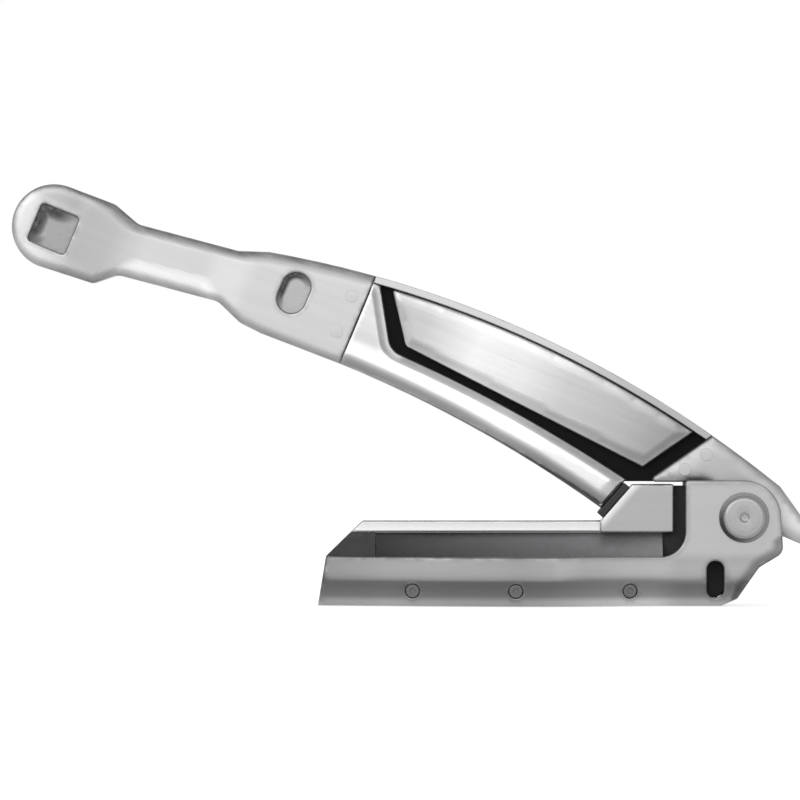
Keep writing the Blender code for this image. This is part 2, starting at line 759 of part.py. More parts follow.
def make_toe_ballast(parent):
    outline = filleted(
        [
            (-TOE_REACH, 0.0),
            (-TOE_REACH + TOE_RAKE, RIM_HEIGHT, PLATE_CORNER),
            (NOSE_TIP, SPINE_BASE - GAP, PLATE_CORNER),
            (NOSE_BACK, SPINE_BASE - GAP),
            (NOSE_BACK, 0.0),
        ]
    )

    def near(x, z):
        return -filling_y(x, z)

    formed_plate("toe_ballast", outline, near, filling_y, parent, DARK, SHARE_STATIONS, FORM_HEIGHTS)


def make_stop_buffer(parent):
    """A rubber strip on the horn's sloping front, where the rails come to rest."""
    run, rise = BUFFER_END * math.cos(HORN_FACE), BUFFER_END * math.sin(HORN_FACE)
    low = (HORN_FOOT + run, SPINE_HEIGHT + rise)
    high = (HORN_FRONT - run, HORN_TOP - rise)
    outline = [
        beside(low, HORN_FACE, GAP),
        beside(low, HORN_FACE, GAP + BUFFER_THICKNESS),
        beside(high, HORN_FACE, GAP + BUFFER_THICKNESS),
        beside(high, HORN_FACE, GAP),
    ]
    half = HORN_HALF_WIDTH - BUFFER_SIDE
    plate("stop_buffer", outline, -half, half, parent, RUBBER, soft=BUFFER_EDGE)


def make_cross_bolt(parent, label, station):
    """A flush bolt and nut that draw the side plates on to two spacers and the keel."""
    face = side_y(-station, CROSS_BOLT_HEIGHT)
    seat = face - CROSS_HEAD_HEIGHT
    profile = [
        (0.0, face),
        (CROSS_HEAD_RADIUS - CROSS_HEAD_CHAMFER, face),
        (CROSS_HEAD_RADIUS, face - CROSS_HEAD_CHAMFER),
        (CROSS_HEAD_RADIUS, seat),
        (CROSS_BOLT_RADIUS, seat),
        (CROSS_BOLT_RADIUS, -face + CROSS_BOLT_SET),
        (0.0, -face + CROSS_BOLT_SET),
    ]
    name = f"cross_bolt_{label}"
    bolt = turned(name, profile, False, parent, BRIGHT, -station, 0.0, CROSS_BOLT_HEIGHT, SMALL_STEPS)
    tool = rod(
        f"{name}_socket",
        SOCKET_RADIUS,
        -face - OVERRUN,
        -face + SOCKET_DEPTH,
        parent,
        None,
        -station,
        CROSS_BOLT_HEIGHT,
        6,
        CUTTERS,
    )
    change(bolt, tool, "DIFFERENCE")
    ring(
        f"cross_nut_{label}",
        CROSS_BOLT_RADIUS + PIN_FIT,
        CROSS_HEAD_RADIUS,
        CROSS_HEAD_HEIGHT,
        parent,
        BRIGHT,
        -station,
        seat + CROSS_HEAD_HEIGHT / 2,
        CROSS_BOLT_HEIGHT,
        SMALL_STEPS,
    )
    inboard = KEEL_HALF + GAP
    outboard = inner_y(-station, CROSS_BOLT_HEIGHT) - SPACER_MARGIN
    for name, side in (("left", -1), ("right", 1)):
        ring(
            f"cross_spacer_{label}_{name}",
            CROSS_BOLT_RADIUS + PIN_FIT,
            CROSS_BOLT_RADIUS + PIN_FIT + SPACER_WALL,
            outboard - inboard,
            parent,
            BRIGHT,
            -station,
            side * (inboard + outboard) / 2,
            CROSS_BOLT_HEIGHT,
            SMALL_STEPS,
        )


def make_hinge(share):
    under = WASHER_FACE
    top = under + PIN_HEAD_HEIGHT
    end = under + NUT_HEIGHT + NUT_COLLAR + PIN_TIP
    profile = filleted(
        [
            (0.0, top - PIN_DIMPLE_DEPTH),
            (PIN_DIMPLE, top - PIN_DIMPLE_DEPTH),
            (PIN_DIMPLE + PIN_DIMPLE_DEPTH, top),
            (PIN_HEAD_RADIUS, top, PIN_HEAD_ROUND),
            (PIN_HEAD_RADIUS, under),
            (PIN_RADIUS, under),
            (PIN_RADIUS, -end + PIN_POINT),
            (PIN_RADIUS - PIN_POINT, -end),
            (0.0, -end),
        ]
    )
    turned("hinge_pin", profile, False, share, BRIGHT, 0.0, 0.0, AXIS_HEIGHT)
    nut_radius = NUT_FLATS / math.sqrt(3)
    nut = rod(
        "hinge_nut",
        nut_radius,
        under,
        under + NUT_HEIGHT,
        share,
        BRIGHT,
        0.0,
        AXIS_HEIGHT,
        6,
    )
    collar = rod(
        "hinge_nut_collar",
        NUT_COLLAR_RADIUS,
        under + NUT_HEIGHT / 2,
        under + NUT_HEIGHT + NUT_COLLAR,
        share,
        None,
        0.0,
        AXIS_HEIGHT,
        ROUND_STEPS,
        CUTTERS,
    )
    change(nut, collar, "UNION")
    bore(nut, "thread", PIN_RADIUS + PIN_FIT, 0.0, AXIS_HEIGHT, 0.0, end + OVERRUN, ROUND_STEPS)
    inner = PIN_RADIUS + PIN_FIT
    outside = EAR_OUTER + GAP + WASHER_THICKNESS / 2
    inside = HUB_HALF_WIDTH + GAP + WASHER_THICKNESS / 2
    for name, side in (("left", -1), ("right", 1)):
        for kind, y, metal_used in (("outer", outside, BRIGHT), ("thrust", inside, BRONZE)):
            ring(
                f"{kind}_washer_{name}",
                inner,
                WASHER_RADIUS,
                WASHER_THICKNESS,
                share,
                metal_used,
                0.0,
                side * y,
                AXIS_HEIGHT,
            )


# The shank's lines


def back_edge(x):
    """Top edge of the shank: a long arc."""
    return BACK_HEIGHT - (x + BACK_STATION) ** 2 / (2 * BACK_RADIUS)


def belly_edge(x):
    """Bottom edge of the shank behind its joint."""
    return BELLY_HEIGHT - (x + BELLY_STATION) ** 2 / (2 * BELLY_RADIUS)


def rail_edge(x):
    """Top edge of the rails."""
    return BELLY_HEIGHT + RAIL_DEPTH - (x + BELLY_STATION) ** 2 / (2 * RAIL_RADIUS)


def neck_edge(side):
    """Top (1) or bottom (-1) edge of the neck."""

    def edge(x):
        return NECK_RISE + NECK_SLOPE * (x + NECK_FRONT) + side * NECK_HEIGHT / 2

    return edge


# The heel's front face, and the end of the rails that lies along the buffer
HEEL_FOOT = (-HEEL_STATION, 0.0)
STOP_FOOT = to_shank(
    *beside((HORN_FOOT, SPINE_HEIGHT - AXIS_HEIGHT), HORN_FACE, GAP + BUFFER_THICKNESS + STOP_GAP)
)
STOP_LEAN = HORN_FACE + REST_SLOPE
STOP_TOP = meet(STOP_FOOT, STOP_LEAN, rail_edge)


def head_half_width(x):
    """The eye pad and neck are thinner than the body."""
    blend = smooth_step((x + NECK_BACK + FLANK_RUN) / (2 * FLANK_RUN))
    return PAD_HALF_WIDTH + (BODY_HALF_WIDTH - PAD_HALF_WIDTH) * blend


# The shank


def make_head(shank):
    upper = neck_edge(1)
    lower = neck_edge(-1)
    joint = -JOINT_REACH
    pad_end = -EYE_REACH + EYE_PAD_LENGTH
    body = -NECK_BACK + BODY_SHOULDER
    pad = arc(-EYE_REACH, EYE_PAD_RISE, EYE_PAD_RADIUS, 1.5 * math.pi, 0.5 * math.pi)
    heel = (pad_end + EYE_PAD_HEEL, EYE_PAD_RISE - EYE_PAD_RADIUS + EYE_PAD_HEEL_RISE)
    top = [
        (pad_end, EYE_PAD_RISE + EYE_PAD_RADIUS + EYE_PAD_TOP, EYE_PAD_ROUND),
        (-NECK_FRONT, upper(-NECK_FRONT), HEAD_ROUND),
        (-NECK_BACK, upper(-NECK_BACK), HEAD_ROUND),
        (body, back_edge(body), EYE_PAD_ROUND),
    ]
    bottom = [
        (joint, belly_edge(joint)),
        (body + THROAT_RUN, belly_edge(joint) - THROAT_DROP, HEAD_ROUND),
        (body, belly_edge(joint) - SHOULDER_DROP, HEAD_ROUND),
        (-NECK_BACK, lower(-NECK_BACK), HEAD_ROUND),
        (-NECK_FRONT, lower(-NECK_FRONT), HEAD_ROUND),
        (*heel, EYE_PAD_ROUND),
    ]
    back = along(back_edge, body + STATION_STEP, joint)
    outline = filleted(pad + top + back + bottom)

    def near(x, z):
        return -head_half_width(x)

    def far(x, z):
        return head_half_width(x)

    stations = spaced(-NECK_BACK - FLANK_RUN, -NECK_BACK + FLANK_RUN, FLANK_STEP)
    head = formed_plate("shank_head", outline, near, far, shank, SATIN, stations)
    soften(head, SOFT_EDGE)
    reach = BODY_HALF_WIDTH + OVERRUN
    pocket(head, "eye", square(EYE_SQUARE, EYE_CORNER), -reach, reach)
    pocket(head, "oval", oval(0.0), -reach, reach)
    low, high = tongue_heights()
    mortise = [
        (joint - TONGUE_LENGTH - GAP, low - GAP),
        (joint - TONGUE_LENGTH - GAP, high + GAP),
        (joint + OVERRUN, high + GAP),
        (joint + OVERRUN, low - GAP),
    ]
    pocket(head, "mortise", mortise, -WEB_HALF - GAP, WEB_HALF + GAP)
    for label, x, z in head_rivets():
        bore(head, label, RIVET_RADIUS + PIN_FIT, x, z, -reach, reach)
    block_half = PAD_HALF_WIDTH - EYE_SETBACK
    block = square(EYE_SQUARE - 2 * GAP, EYE_CORNER - GAP)
    plate("eye_block", block, -block_half, block_half, shank, SATIN)
    plug_half = BODY_HALF_WIDTH - OVAL_SETBACK
    plate("oval_plug", oval(GAP), -plug_half, plug_half, shank, SATIN)


def square(side, corner):
    half = side / 2
    corners = ((-half, -half), (-half, half), (half, half), (half, -half))
    return filleted([(x - EYE_REACH, z, corner) for x, z in corners])


def oval(inset):
    half = OVAL_HEIGHT / 2 - inset
    return obround(-OVAL_REACH, OVAL_RISE - half, OVAL_RISE + half, OVAL_WIDTH - 2 * inset)


def tongue_heights():
    joint = -JOINT_REACH
    return belly_edge(joint) + TONGUE_MARGIN, back_edge(joint) - TONGUE_MARGIN


def head_rivets():
    x = -JOINT_REACH - TONGUE_LENGTH / 2
    middle = sum(tongue_heights()) / 2
    return (
        ("rivet_lower", x, middle - HEAD_RIVET_SPREAD),
        ("rivet_upper", x, middle + HEAD_RIVET_SPREAD),
    )


def cheek_base(x):
    """Bottom edge of the cheeks: a straight line over a groove that widens aft."""
    front = leg_foot()[0]
    aft = STOP_TOP[0]
    share = (x - front) / (aft - front)
    start = rail_edge(front) + GROOVE_FRONT
    end = rail_edge(aft) + GROOVE_AFT
    return start + (end - start) * share


def leg_top():
    x = -JOINT_REACH + GAP + LEG_WIDTH
    return (x, back_edge(x) - CROWN_THICKNESS - GAP)


def leg_foot():
    x = leg_top()[0] + LEG_RUN
    return (x, rail_edge(x))


def dowel_places():
    """(name, x, z, whether it holds the cheeks)"""
    found = []
    for label, station in CHEEK_DOWELS.items():
        z = (cheek_base(-station) + back_edge(-station) - CROWN_THICKNESS) / 2
        found.append((f"cheek_dowel_{label}", -station, z, True))
    for label, station in RAIL_DOWELS.items():
        z = (belly_edge(-station) + rail_edge(-station)) / 2
        found.append((f"rail_dowel_{label}", -station, z, False))
    return found


def heel_rivets():
    """(name, x, z) of each, on a line that runs up beside the heel's front face."""
    line = beside(HEEL_FOOT, HEEL_LEAN, -HEEL_RIVET_MARGIN)
    low = crossing(line, HEEL_LEAN, to_shank(0.0, HEEL_UNDERSIDE), REST_SLOPE)
    high = meet(line, HEEL_LEAN, back_edge)
    return [
        (f"heel_rivet_{label}", between(low[0], high[0], share), between(low[1], high[1], share))
        for label, share in HEEL_RIVET_PLACES.items()
    ]


def make_web(shank):
    joint = -JOINT_REACH
    front = joint + GAP
    low, high = tongue_heights()
    end = -HEEL_SLOT_END - GAP

    def lower_edge(x):
        return belly_edge(x) + WEB_SETBACK

    stop_low = meet(beside(STOP_FOOT, STOP_LEAN, GAP), STOP_LEAN, lower_edge)
    over_horn = HEEL_UNDERSIDE + GAP
    beside_stop = beside(STOP_FOOT, STOP_LEAN, GAP)
    over_buffer = crossing(beside_stop, STOP_LEAN, to_shank(0.0, over_horn), REST_SLOPE)
    heel_low = (end - to_shank(0.0, over_horn)[0]) / math.cos(REST_SLOPE)
    outline = [(joint - TONGUE_LENGTH, low), (front, low)]
    outline += along(lower_edge, front, stop_low[0])
    outline += [over_buffer, to_shank(heel_low, over_horn)]
    outline += along(back_edge, end, front, CROWN_THICKNESS + GAP)
    outline += [(front, high), (joint - TONGUE_LENGTH, high)]
    web = plate("web_plate", outline, -WEB_HALF, WEB_HALF, shank, BLACK)
    for name, x, z, _ in dowel_places():
        bore(web, name, DOWEL_RADIUS + PIN_FIT, x, z, -WEB_THICKNESS, WEB_THICKNESS)
    for name, x, z in (*head_rivets(), *heel_rivets()):
        bore(web, name, RIVET_RADIUS + PIN_FIT, x, z, -WEB_THICKNESS, WEB_THICKNESS)


def cheek_outline():
    drop = CROWN_THICKNESS + 2 * GAP
    shift = GROOVE_FRONT / math.sin(math.atan2(leg_top()[1] - leg_foot()[1], LEG_RUN))
    front_low = (leg_foot()[0] + shift, cheek_base(leg_foot()[0] + shift), CHEEK_CORNER)
    front_high = leg_top()[0] + shift
    edge = beside(HEEL_FOOT, HEEL_LEAN, HEEL_GROOVE)
    aft_high = meet(edge, HEEL_LEAN, back_edge, drop)
    aft_low = meet(edge, HEEL_LEAN, cheek_base)
    top = along(back_edge, front_high, aft_high[0], drop)
    return filleted([front_low, (*top[0], TIP_CORNER), *top[1:], (*aft_low, TIP_CORNER)])


def rail_outline():
    front = -JOINT_REACH + GAP
    stop_low = meet(STOP_FOOT, STOP_LEAN, belly_edge)
    foot = leg_foot()
    corners = [
        (front, back_edge(front) - CROWN_THICKNESS - 2 * GAP),
        (leg_top()[0], leg_top()[1] - GAP, TIP_CORNER),
        (*foot, LEG_CORNER),
    ]
    top = along(rail_edge, foot[0] + 2 * STATION_STEP, STOP_TOP[0])
    bottom = along(belly_edge, stop_low[0], front)
    return filleted(corners + top + bottom)


def make_sides(shank):
    """A cheek and a rail on each side of the web, located by blind dowels."""
    inboard = WEB_HALF + GAP
    depth = WEB_HALF + DOWEL_BITE + GAP
    for name, side in (("left", -1), ("right", 1)):
        for kind, outline, half in (
            ("cheek", cheek_outline(), CHEEK_HALF_WIDTH),
            ("rail", rail_outline(), RAIL_HALF_WIDTH),
        ):
            low, high = sorted((side * inboard, side * half))
            piece = plate(f"{name}_{kind}", outline, low, high, shank, POLISHED, soft=SOFT_EDGE)
            for label, x, z, in_cheek in dowel_places():
                if in_cheek == (kind == "cheek"):
                    low, high = sorted((0.0, side * depth))
                    bore(piece, label, DOWEL_RADIUS + PIN_FIT, x, z, low, high)
    reach = WEB_HALF + DOWEL_BITE
    for name, x, z, _ in dowel_places():
        rod(name, DOWEL_RADIUS, -reach, reach, shank, BRIGHT, x, z, SMALL_STEPS)


def make_crown(shank):
    """The strip along the back that covers the web and the cheeks' top edges."""
    front = -JOINT_REACH + GAP
    edge = beside(HEEL_FOOT, HEEL_LEAN, GAP)
    top_end = meet(edge, HEEL_LEAN, back_edge)
    low_end = meet(edge, HEEL_LEAN, back_edge, CROWN_THICKNESS)
    outline = along(back_edge, front, top_end[0]) + along(back_edge, low_end[0], front, CROWN_THICKNESS)
    plate("crown_strip", outline, -CHEEK_HALF_WIDTH, CHEEK_HALF_WIDTH, shank, SATIN)


def tail_base():
    """z of the tail's underside, which meets the lug's top corner when the shank is fully open."""
    corner = to_shank(LUG_AFT, LUG_TOP - AXIS_HEIGHT, REST_SLOPE + OPENING)
    return corner[1] + STOP_GAP


def make_heel(shank):
    """The forging that joins web to hinge, with its hub and the tail that stops the shank."""
    base = tail_base()
    foot = crossing(HEEL_FOOT, HEEL_LEAN, to_shank(0.0, HEEL_UNDERSIDE), REST_SLOPE)
    top = meet(HEEL_FOOT, HEEL_LEAN, back_edge)
    outline = [(*foot, HEEL_TOE_CORNER)]
    outline += along(back_edge, top[0], TAIL_REACH - 2 * TAIL_NOSE_RADIUS - HEEL_SHOULDER)
    outline += [
        (TAIL_REACH - 2 * TAIL_NOSE_RADIUS, TAIL_TOP, TAIL_BACK_RADIUS),
        (TAIL_REACH, TAIL_NOSE, TAIL_NOSE_RADIUS),
        (TAIL_REACH, base, TAIL_FOOT_RADIUS),
    ]
    outline += arc(
        0.0,
        0.0,
        HUB_RADIUS,
        math.tau + math.asin(base / HUB_RADIUS),
        math.pi + REST_SLOPE,
    )
    outline.append((*to_shank(-HUB_RADIUS, HEEL_UNDERSIDE), HEEL_THROAT))
    half = HEEL_HALF_WIDTH
    heel = plate("heel_forging", filleted(outline), -half, half, shank, SATIN, soft=SOFT_EDGE)
    hub = rod(
        "heel_forging_hub",
        HUB_RADIUS - HUB_INSET,
        -HUB_HALF_WIDTH,
        HUB_HALF_WIDTH,
        shank,
        None,
        0.0,
        0.0,
        collection=CUTTERS,
    )
    change(heel, hub, "UNION")
    bush_radius = PIN_RADIUS + PIN_FIT + BUSH_WALL
    bore(heel, "bush_bore", bush_radius + GAP, 0.0, 0.0, -JAW_HALF, JAW_HALF, ROUND_STEPS)
    slot_end = -HEEL_SLOT_END
    slot = along(back_edge, foot[0] - OVERRUN, slot_end, CROWN_THICKNESS)
    slot += [(slot_end, foot[1] - OVERRUN), (foot[0] - OVERRUN, foot[1] - OVERRUN)]
    pocket(heel, "web_slot", slot, -WEB_HALF - GAP, WEB_HALF + GAP)
    for label, x, z in heel_rivets():
        bore(heel, label, RIVET_RADIUS + PIN_FIT, x, z, -half - OVERRUN, half + OVERRUN)
    ring(
        "hinge_bush",
        PIN_RADIUS + PIN_FIT,
        bush_radius,
        2 * HUB_HALF_WIDTH,
        shank,
        BRONZE,
        0.0,
        0.0,
        0.0,
    )


def make_rivets(shank):
    for name, x, z in head_rivets():
        half = BODY_HALF_WIDTH
        rod(f"head_{name}", RIVET_RADIUS, -half, half, shank, BRIGHT, x, z, SMALL_STEPS)
    for name, x, z in heel_rivets():
        half = HEEL_HALF_WIDTH
        rod(name, RIVET_RADIUS, -half, half, shank, BRIGHT, x, z, SMALL_STEPS)


def make_share(share):
    for name, side in (("left", -1), ("right", 1)):
        make_side_plate(share, f"{name}_side_plate", side)
        make_mouldboard(share, f"{name}_mouldboard", side)
    make_keel_web(share)
    make_horn_spine(share)
    make_stop_buffer(share)
    make_sole_plate(share)
    make_toe_ballast(share)
    for label, station in CROSS_BOLTS.items():
        make_cross_bolt(share, label, station)
    make_hinge(share)


def make_shank(shank):
    make_head(shank)
    make_web(shank)
    make_sides(shank)
    make_crown(shank)
    make_heel(shank)
    make_rivets(shank)


def main():
    share = empty("share_frame", AXIS_AFT, 0.0)
    shank = empty("shank_pivot", AXIS_AFT, AXIS_HEIGHT, REST_SLOPE)
    make_share(share)
    make_shank(shank)


main()
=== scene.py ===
"""Dresses the plow anchor: every visible piece is made again with rounded edges, crowned faces and a finish.

Lengths are in millimetres unless a comment says otherwise, and meshes are written in metres. A share piece
is drawn from the hinge axis (x, aft) and the underside of the sole (z, up). A shank piece is drawn from the
hinge axis along the line to the eye, and is then turned to the slope at which the shank rests. y runs
across the anchor in both, and the left side, which is the near one, is its negative side.
"""

import json
import math

import bpy
import numpy as np
from bpy.props import FloatProperty, FloatVectorProperty, PointerProperty
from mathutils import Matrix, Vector
from mathutils.geometry import delaunay_2d_cdt


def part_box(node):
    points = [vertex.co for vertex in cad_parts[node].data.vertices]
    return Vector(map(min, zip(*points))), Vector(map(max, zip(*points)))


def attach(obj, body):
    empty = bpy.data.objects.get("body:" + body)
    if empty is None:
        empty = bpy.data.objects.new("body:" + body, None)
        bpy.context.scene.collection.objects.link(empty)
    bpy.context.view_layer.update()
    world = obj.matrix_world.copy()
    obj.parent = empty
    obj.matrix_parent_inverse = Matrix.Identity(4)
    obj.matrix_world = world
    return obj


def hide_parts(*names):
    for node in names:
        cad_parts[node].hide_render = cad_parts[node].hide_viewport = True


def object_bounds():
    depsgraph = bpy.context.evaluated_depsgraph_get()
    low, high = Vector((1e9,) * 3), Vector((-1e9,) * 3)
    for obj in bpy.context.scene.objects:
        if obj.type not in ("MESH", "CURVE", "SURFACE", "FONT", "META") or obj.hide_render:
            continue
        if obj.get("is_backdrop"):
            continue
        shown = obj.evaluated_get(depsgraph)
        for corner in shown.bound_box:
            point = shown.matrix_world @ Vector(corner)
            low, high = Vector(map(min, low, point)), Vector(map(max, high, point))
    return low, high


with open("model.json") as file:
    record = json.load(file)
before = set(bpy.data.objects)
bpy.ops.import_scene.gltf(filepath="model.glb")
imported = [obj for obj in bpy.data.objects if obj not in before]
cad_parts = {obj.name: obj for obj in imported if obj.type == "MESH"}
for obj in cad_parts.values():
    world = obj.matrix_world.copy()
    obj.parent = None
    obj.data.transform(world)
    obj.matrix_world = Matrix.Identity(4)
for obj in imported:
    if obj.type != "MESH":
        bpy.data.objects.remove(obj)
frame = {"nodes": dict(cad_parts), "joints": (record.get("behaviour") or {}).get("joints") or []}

bl_info = {
    "name": "Plow anchor finish",
    "version": (1, 0, 0),
    "blender": (4, 5, 0),
    "location": "3D View > Sidebar > Anchor",
    "description": "Makes the plow anchor's finished pieces, its metals and a plain studio",
    "category": "Object",
}

MM = 0.001
CAD_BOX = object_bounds()


def box_mm(node):
    """Lowest and highest corner of a node, in millimetres."""
    return [np.array(corner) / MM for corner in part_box(node)]


def middle_mm(node):
    return sum(box_mm(node)) / 2


HINGE = np.array(frame["joints"][0]["pos_m"]) / MM
EYE = middle_mm("eye_block")
EYE_REACH = math.hypot(EYE[0] - HINGE[0], EYE[2] - HINGE[2])
SLOPE = math.atan2(EYE[2] - HINGE[2], HINGE[0] - EYE[0])

# Fits between pieces
GAP = 0.3
PIN_FIT = 0.3
STOP_GAP = 0.4
INLAY_GAP = 0.05
TOE_SEAM = 0.05
CROWN_SEAM = 0.25

# Share
AXIS_HEIGHT = HINGE[2]
TOE_REACH = 265.0
TOE_RAKE = 5.0
CHINE_HEIGHT = 15.6
RIM_HEIGHT = 30.6
CHINE_ROUND = 0.9
SPINE_HEIGHT = 53.0
SPINE_BASE = 45.6
SPINE_HALF_WIDTH = 8.0
SPINE_RAKE = 8.0
PLATE = 5.0
EAR_OUTER = 25.0
EAR_RADIUS = 23.1
EAR_LENGTH = 36.3
EAR_FILLET = 15.6
EAR_KNEE = 0.0
EAR_DROP = 22.0
EAR_FLARE = 1.4
EAR_HEEL_CORNER = 7.0
EAR_COVER = 7.5
PLATE_CORNER = 2.0
KICK_CORNER = 4.0
WING_HALF_WIDTH = 40.0
WING_STATION = 120.0
WING_START = 42.0
TOE_HALF_WIDTH = 11.0
BAND_LEAN = 4.0
RIM_LEAN = 2.5
SLOT_STATION = 17.8
SLOT_WIDTH = 10.6
SLOT_BOTTOM = 5.0
SLOT_TOP = 28.0
SOLE_THICKNESS = 4.5
SOLE_FLAT_END = 14.0
KICK_BEND = 5.0
LUG_AFT = 2.0
LUG_TOP = 24.0
NOSE_BACK = -229.0
NOSE_TIP = -245.0
TOE_TOP_HALF = 6.5
KEEL_HALF = 4.0
KEEL_AFT = 27.0
KEEL_HEEL = 9.5
KEEL_CORNER = 5.0
HORN_TOP = 75.6
HORN_AFT = 43.0
HORN_FRONT = -69.0
HORN_FOOT = -89.0
HORN_HALF_WIDTH = 13.0
HORN_SEAT = 0.3
HORN_CORNER = 1.5
BUFFER_THICKNESS = 4.0
BUFFER_END = 2.5
BUFFER_HALF_WIDTH = 12.0
MOULD_THICKNESS = 4.0
MOULD_AFT = 50.0
MOULD_EDGE = 26.6
MOULD_CURL = 1.8
BOLT_HEIGHT = 9.5
BOLT_STATIONS = {"front": 206.0, "middle": 142.0, "rear": 71.0}
BOLT_RADIUS = 2.5
BOLT_HEAD_RADIUS = 4.0
BOLT_HEAD_HEIGHT = 2.0
SOCKET_RADIUS = 1.9
SOCKET_DEPTH = 1.2
PIN_RADIUS = 8.0
PIN_DIMPLE = 2.5
PIN_DIMPLE_DEPTH = 0.8
PIN_HEAD_HEIGHT = 5.0
NUT_FLATS = 24.0
NUT_HEIGHT = 11.0
NUT_COLLAR_RADIUS = 10.8

# Shank
PAD_RADIUS = 26.5
PAD_RISE = 1.5
PAD_LENGTH = 30.0
PAD_ROUND = 6.0
EYE_SQUARE = 25.0
EYE_CORNER = 2.5
PAD_HALF_WIDTH = 9.0
EYE_SETBACK = 5.0
INLAY_DRAFT = 2.6
BODY_HALF_WIDTH = 12.0
NECK_FRONT = EYE_REACH - 48.2
NECK_HEIGHT = 34.2
NECK_SLOPE = 0.138
NECK_RISE = 6.0
JOINT = -269.0
RUN_ON = 20.0
NECK_BACK = 354.0
FLANK_RUN = 15.0
BODY_SHOULDER = 18.0
THROAT_RUN = 14.0
HEAD_ROUND = 10.0
OVAL_REACH = 312.3
OVAL_RISE = 21.0
OVAL_WIDTH = 18.0
OVAL_HEIGHT = 26.0
BACK_RADIUS = 680.0
BACK_STATION = 184.5
BACK_HEIGHT = 55.6
BELLY_RADIUS = 789.0
BELLY_STATION = 262.0
BELLY_HEIGHT = -8.7
RAIL_RADIUS = 980.0
RAIL_DEPTH = 20.2
WEB_HALF = 4.0
WEB_END = -28.3
WEB_TONGUE = 18.0
WEB_TONGUE_INSET = 9.0
CHEEK_HALF_WIDTH = 12.0
RAIL_HALF_WIDTH = 13.0
RAIL_RIM = 0.8
LEG_WIDTH = 4.5
LEG_RUN = 21.5
LEG_CORNER = 12.0
CROWN_THICKNESS = 4.2
GROOVE_FRONT = 6.4
GROOVE_AFT = 11.2
CHEEK_CORNER = 5.0
TIP_CORNER = 1.5
HEEL_GROOVE = 8.5
HEEL_FOOT = (-62.5, 0.0)
HEEL_LEAN = math.radians(57.3)
HEEL_HALF_WIDTH = 14.0
HEEL_UNDERSIDE = 22.0
HUB_RADIUS = 21.0
RIVET_PROUD = 0.1
TAIL_REACH = 44.0
TAIL_TOP = 15.5
TAIL_NOSE = 8.0
OPENING = math.radians(60.0)

# Mesh
ARC_STEP = math.radians(6.0)
FLAT_TURN = math.radians(8.0)
FULL_TURN = math.radians(20.0)
MOST_OF_EDGE = 0.48
STATION_STEP = 12.0
OUTLINE_STEP = 3.0
RIM_STEPS = 4
FACE_RING = 0.25
WALL_SHARE = 0.4
ROUND_STEPS = 96
SHARP_ANGLE = math.radians(38.0)

# Painted light and shade. FAR takes a mark out of its band's reach. On the head, depth under the face counts
# EDGE_SPREAD times, and the painted highlight along the lower edge ends BRIGHT_TO_JOINT before the joint. The
# ways
# are directions: DRAFT_WAY, (ahead, up), towards the edges where the recess floors get painted shadow, and
# SHADED_WAY, the angle of the washers' darkest painted shade.
FAR = 40.0
EDGE_SPREAD = 4.0
BRIGHT_TO_JOINT = 102.0
DRAFT_WAY = (0.86, 0.51)
SHADED_WAY = math.radians(217.0)

# Grain: lines to the metre along and across a rolled plate, and metres from ring to ring on turned steel
ROLLED_GRAIN = (60.0, 900.0)
RING_PITCH = 0.0009

# Studio, in metres apart from the lens: each lamp's size and its place from the anchor's middle, then the
# floor and the camera
LAMPS = {
    "key": ((1.6, 1.6), (-1.7, -2.2, 1.3)),
    "front": ((2.6, 1.6), (-0.3, -2.8, 0.75)),
    "back": ((2.6, 1.6), (0.5, 2.8, 1.1)),
}
FLOOR_SIDES = 64
FLOOR_RADIUS = 14.0
FLOOR_DROP = 0.0004
CAMERA_LENS = 288.0
CAMERA_PLACE = (-0.18375, -4.0, 0.12805)


# Outlines, as arrays of (x, z)


def left_turning(outline):
    """The outline as an array that runs round with its inside on the left."""
    points = np.array(outline, float)
    after = np.roll(points, -1, axis=0)
    area = (points[:, 0] * after[:, 1] - after[:, 0] * points[:, 1]).sum()
    return points if area > 0 else points[::-1]


def arc(x, z, radius, start, end):
    """Points of a circle from one angle to another, as corners of an outline."""
    angles = np.linspace(start, end, max(2, math.ceil(abs(end - start) / ARC_STEP)) + 1)
    return list(zip(x + radius * np.cos(angles), z + radius * np.sin(angles)))


def rounded(corners):
    """Outline through corners (x, z) or (x, z, radius). A corner with a radius is turned by an arc that
    touches both of its edges."""
    points = []
    for index, corner in enumerate(corners):
        here = Vector(corner[:2])
        radius = corner[2] if len(corner) > 2 else 0.0
        before = Vector(corners[index - 1][:2]) - here
        after = Vector(corners[(index + 1) % len(corners)][:2]) - here
        turn = before.angle(after)
        if radius <= 0 or turn > math.pi - FLAT_TURN:
            points.append(tuple(here))
            continue
        room = MOST_OF_EDGE * min(before.length, after.length)
        cut_back = min(radius / math.tan(turn / 2), room)
        bisector = (before.normalized() + after.normalized()).normalized()
        middle = here + bisector * cut_back / math.cos(turn / 2)
        first = here + before.normalized() * cut_back - middle
        last = here + after.normalized() * cut_back - middle
        start = math.atan2(first.y, first.x)
        sweep = (math.atan2(last.y, last.x) - start + math.pi) % math.tau - math.pi
        points += arc(middle.x, middle.y, first.length, start, start + sweep)
    return points


def inward(loop):
    """At each point, the direction that keeps both of its edges the same distance away: the sum of the two
    edges' left normals over one plus their dot product."""
    edges = np.roll(loop, -1, axis=0) - loop
    edges /= np.hypot(edges[:, 0], edges[:, 1])[:, None]
    after = np.stack([-edges[:, 1], edges[:, 0]], axis=1)
    before = np.roll(after, 1, axis=0)
    return (before + after) / (1 + (before * after).sum(axis=1))[:, None]


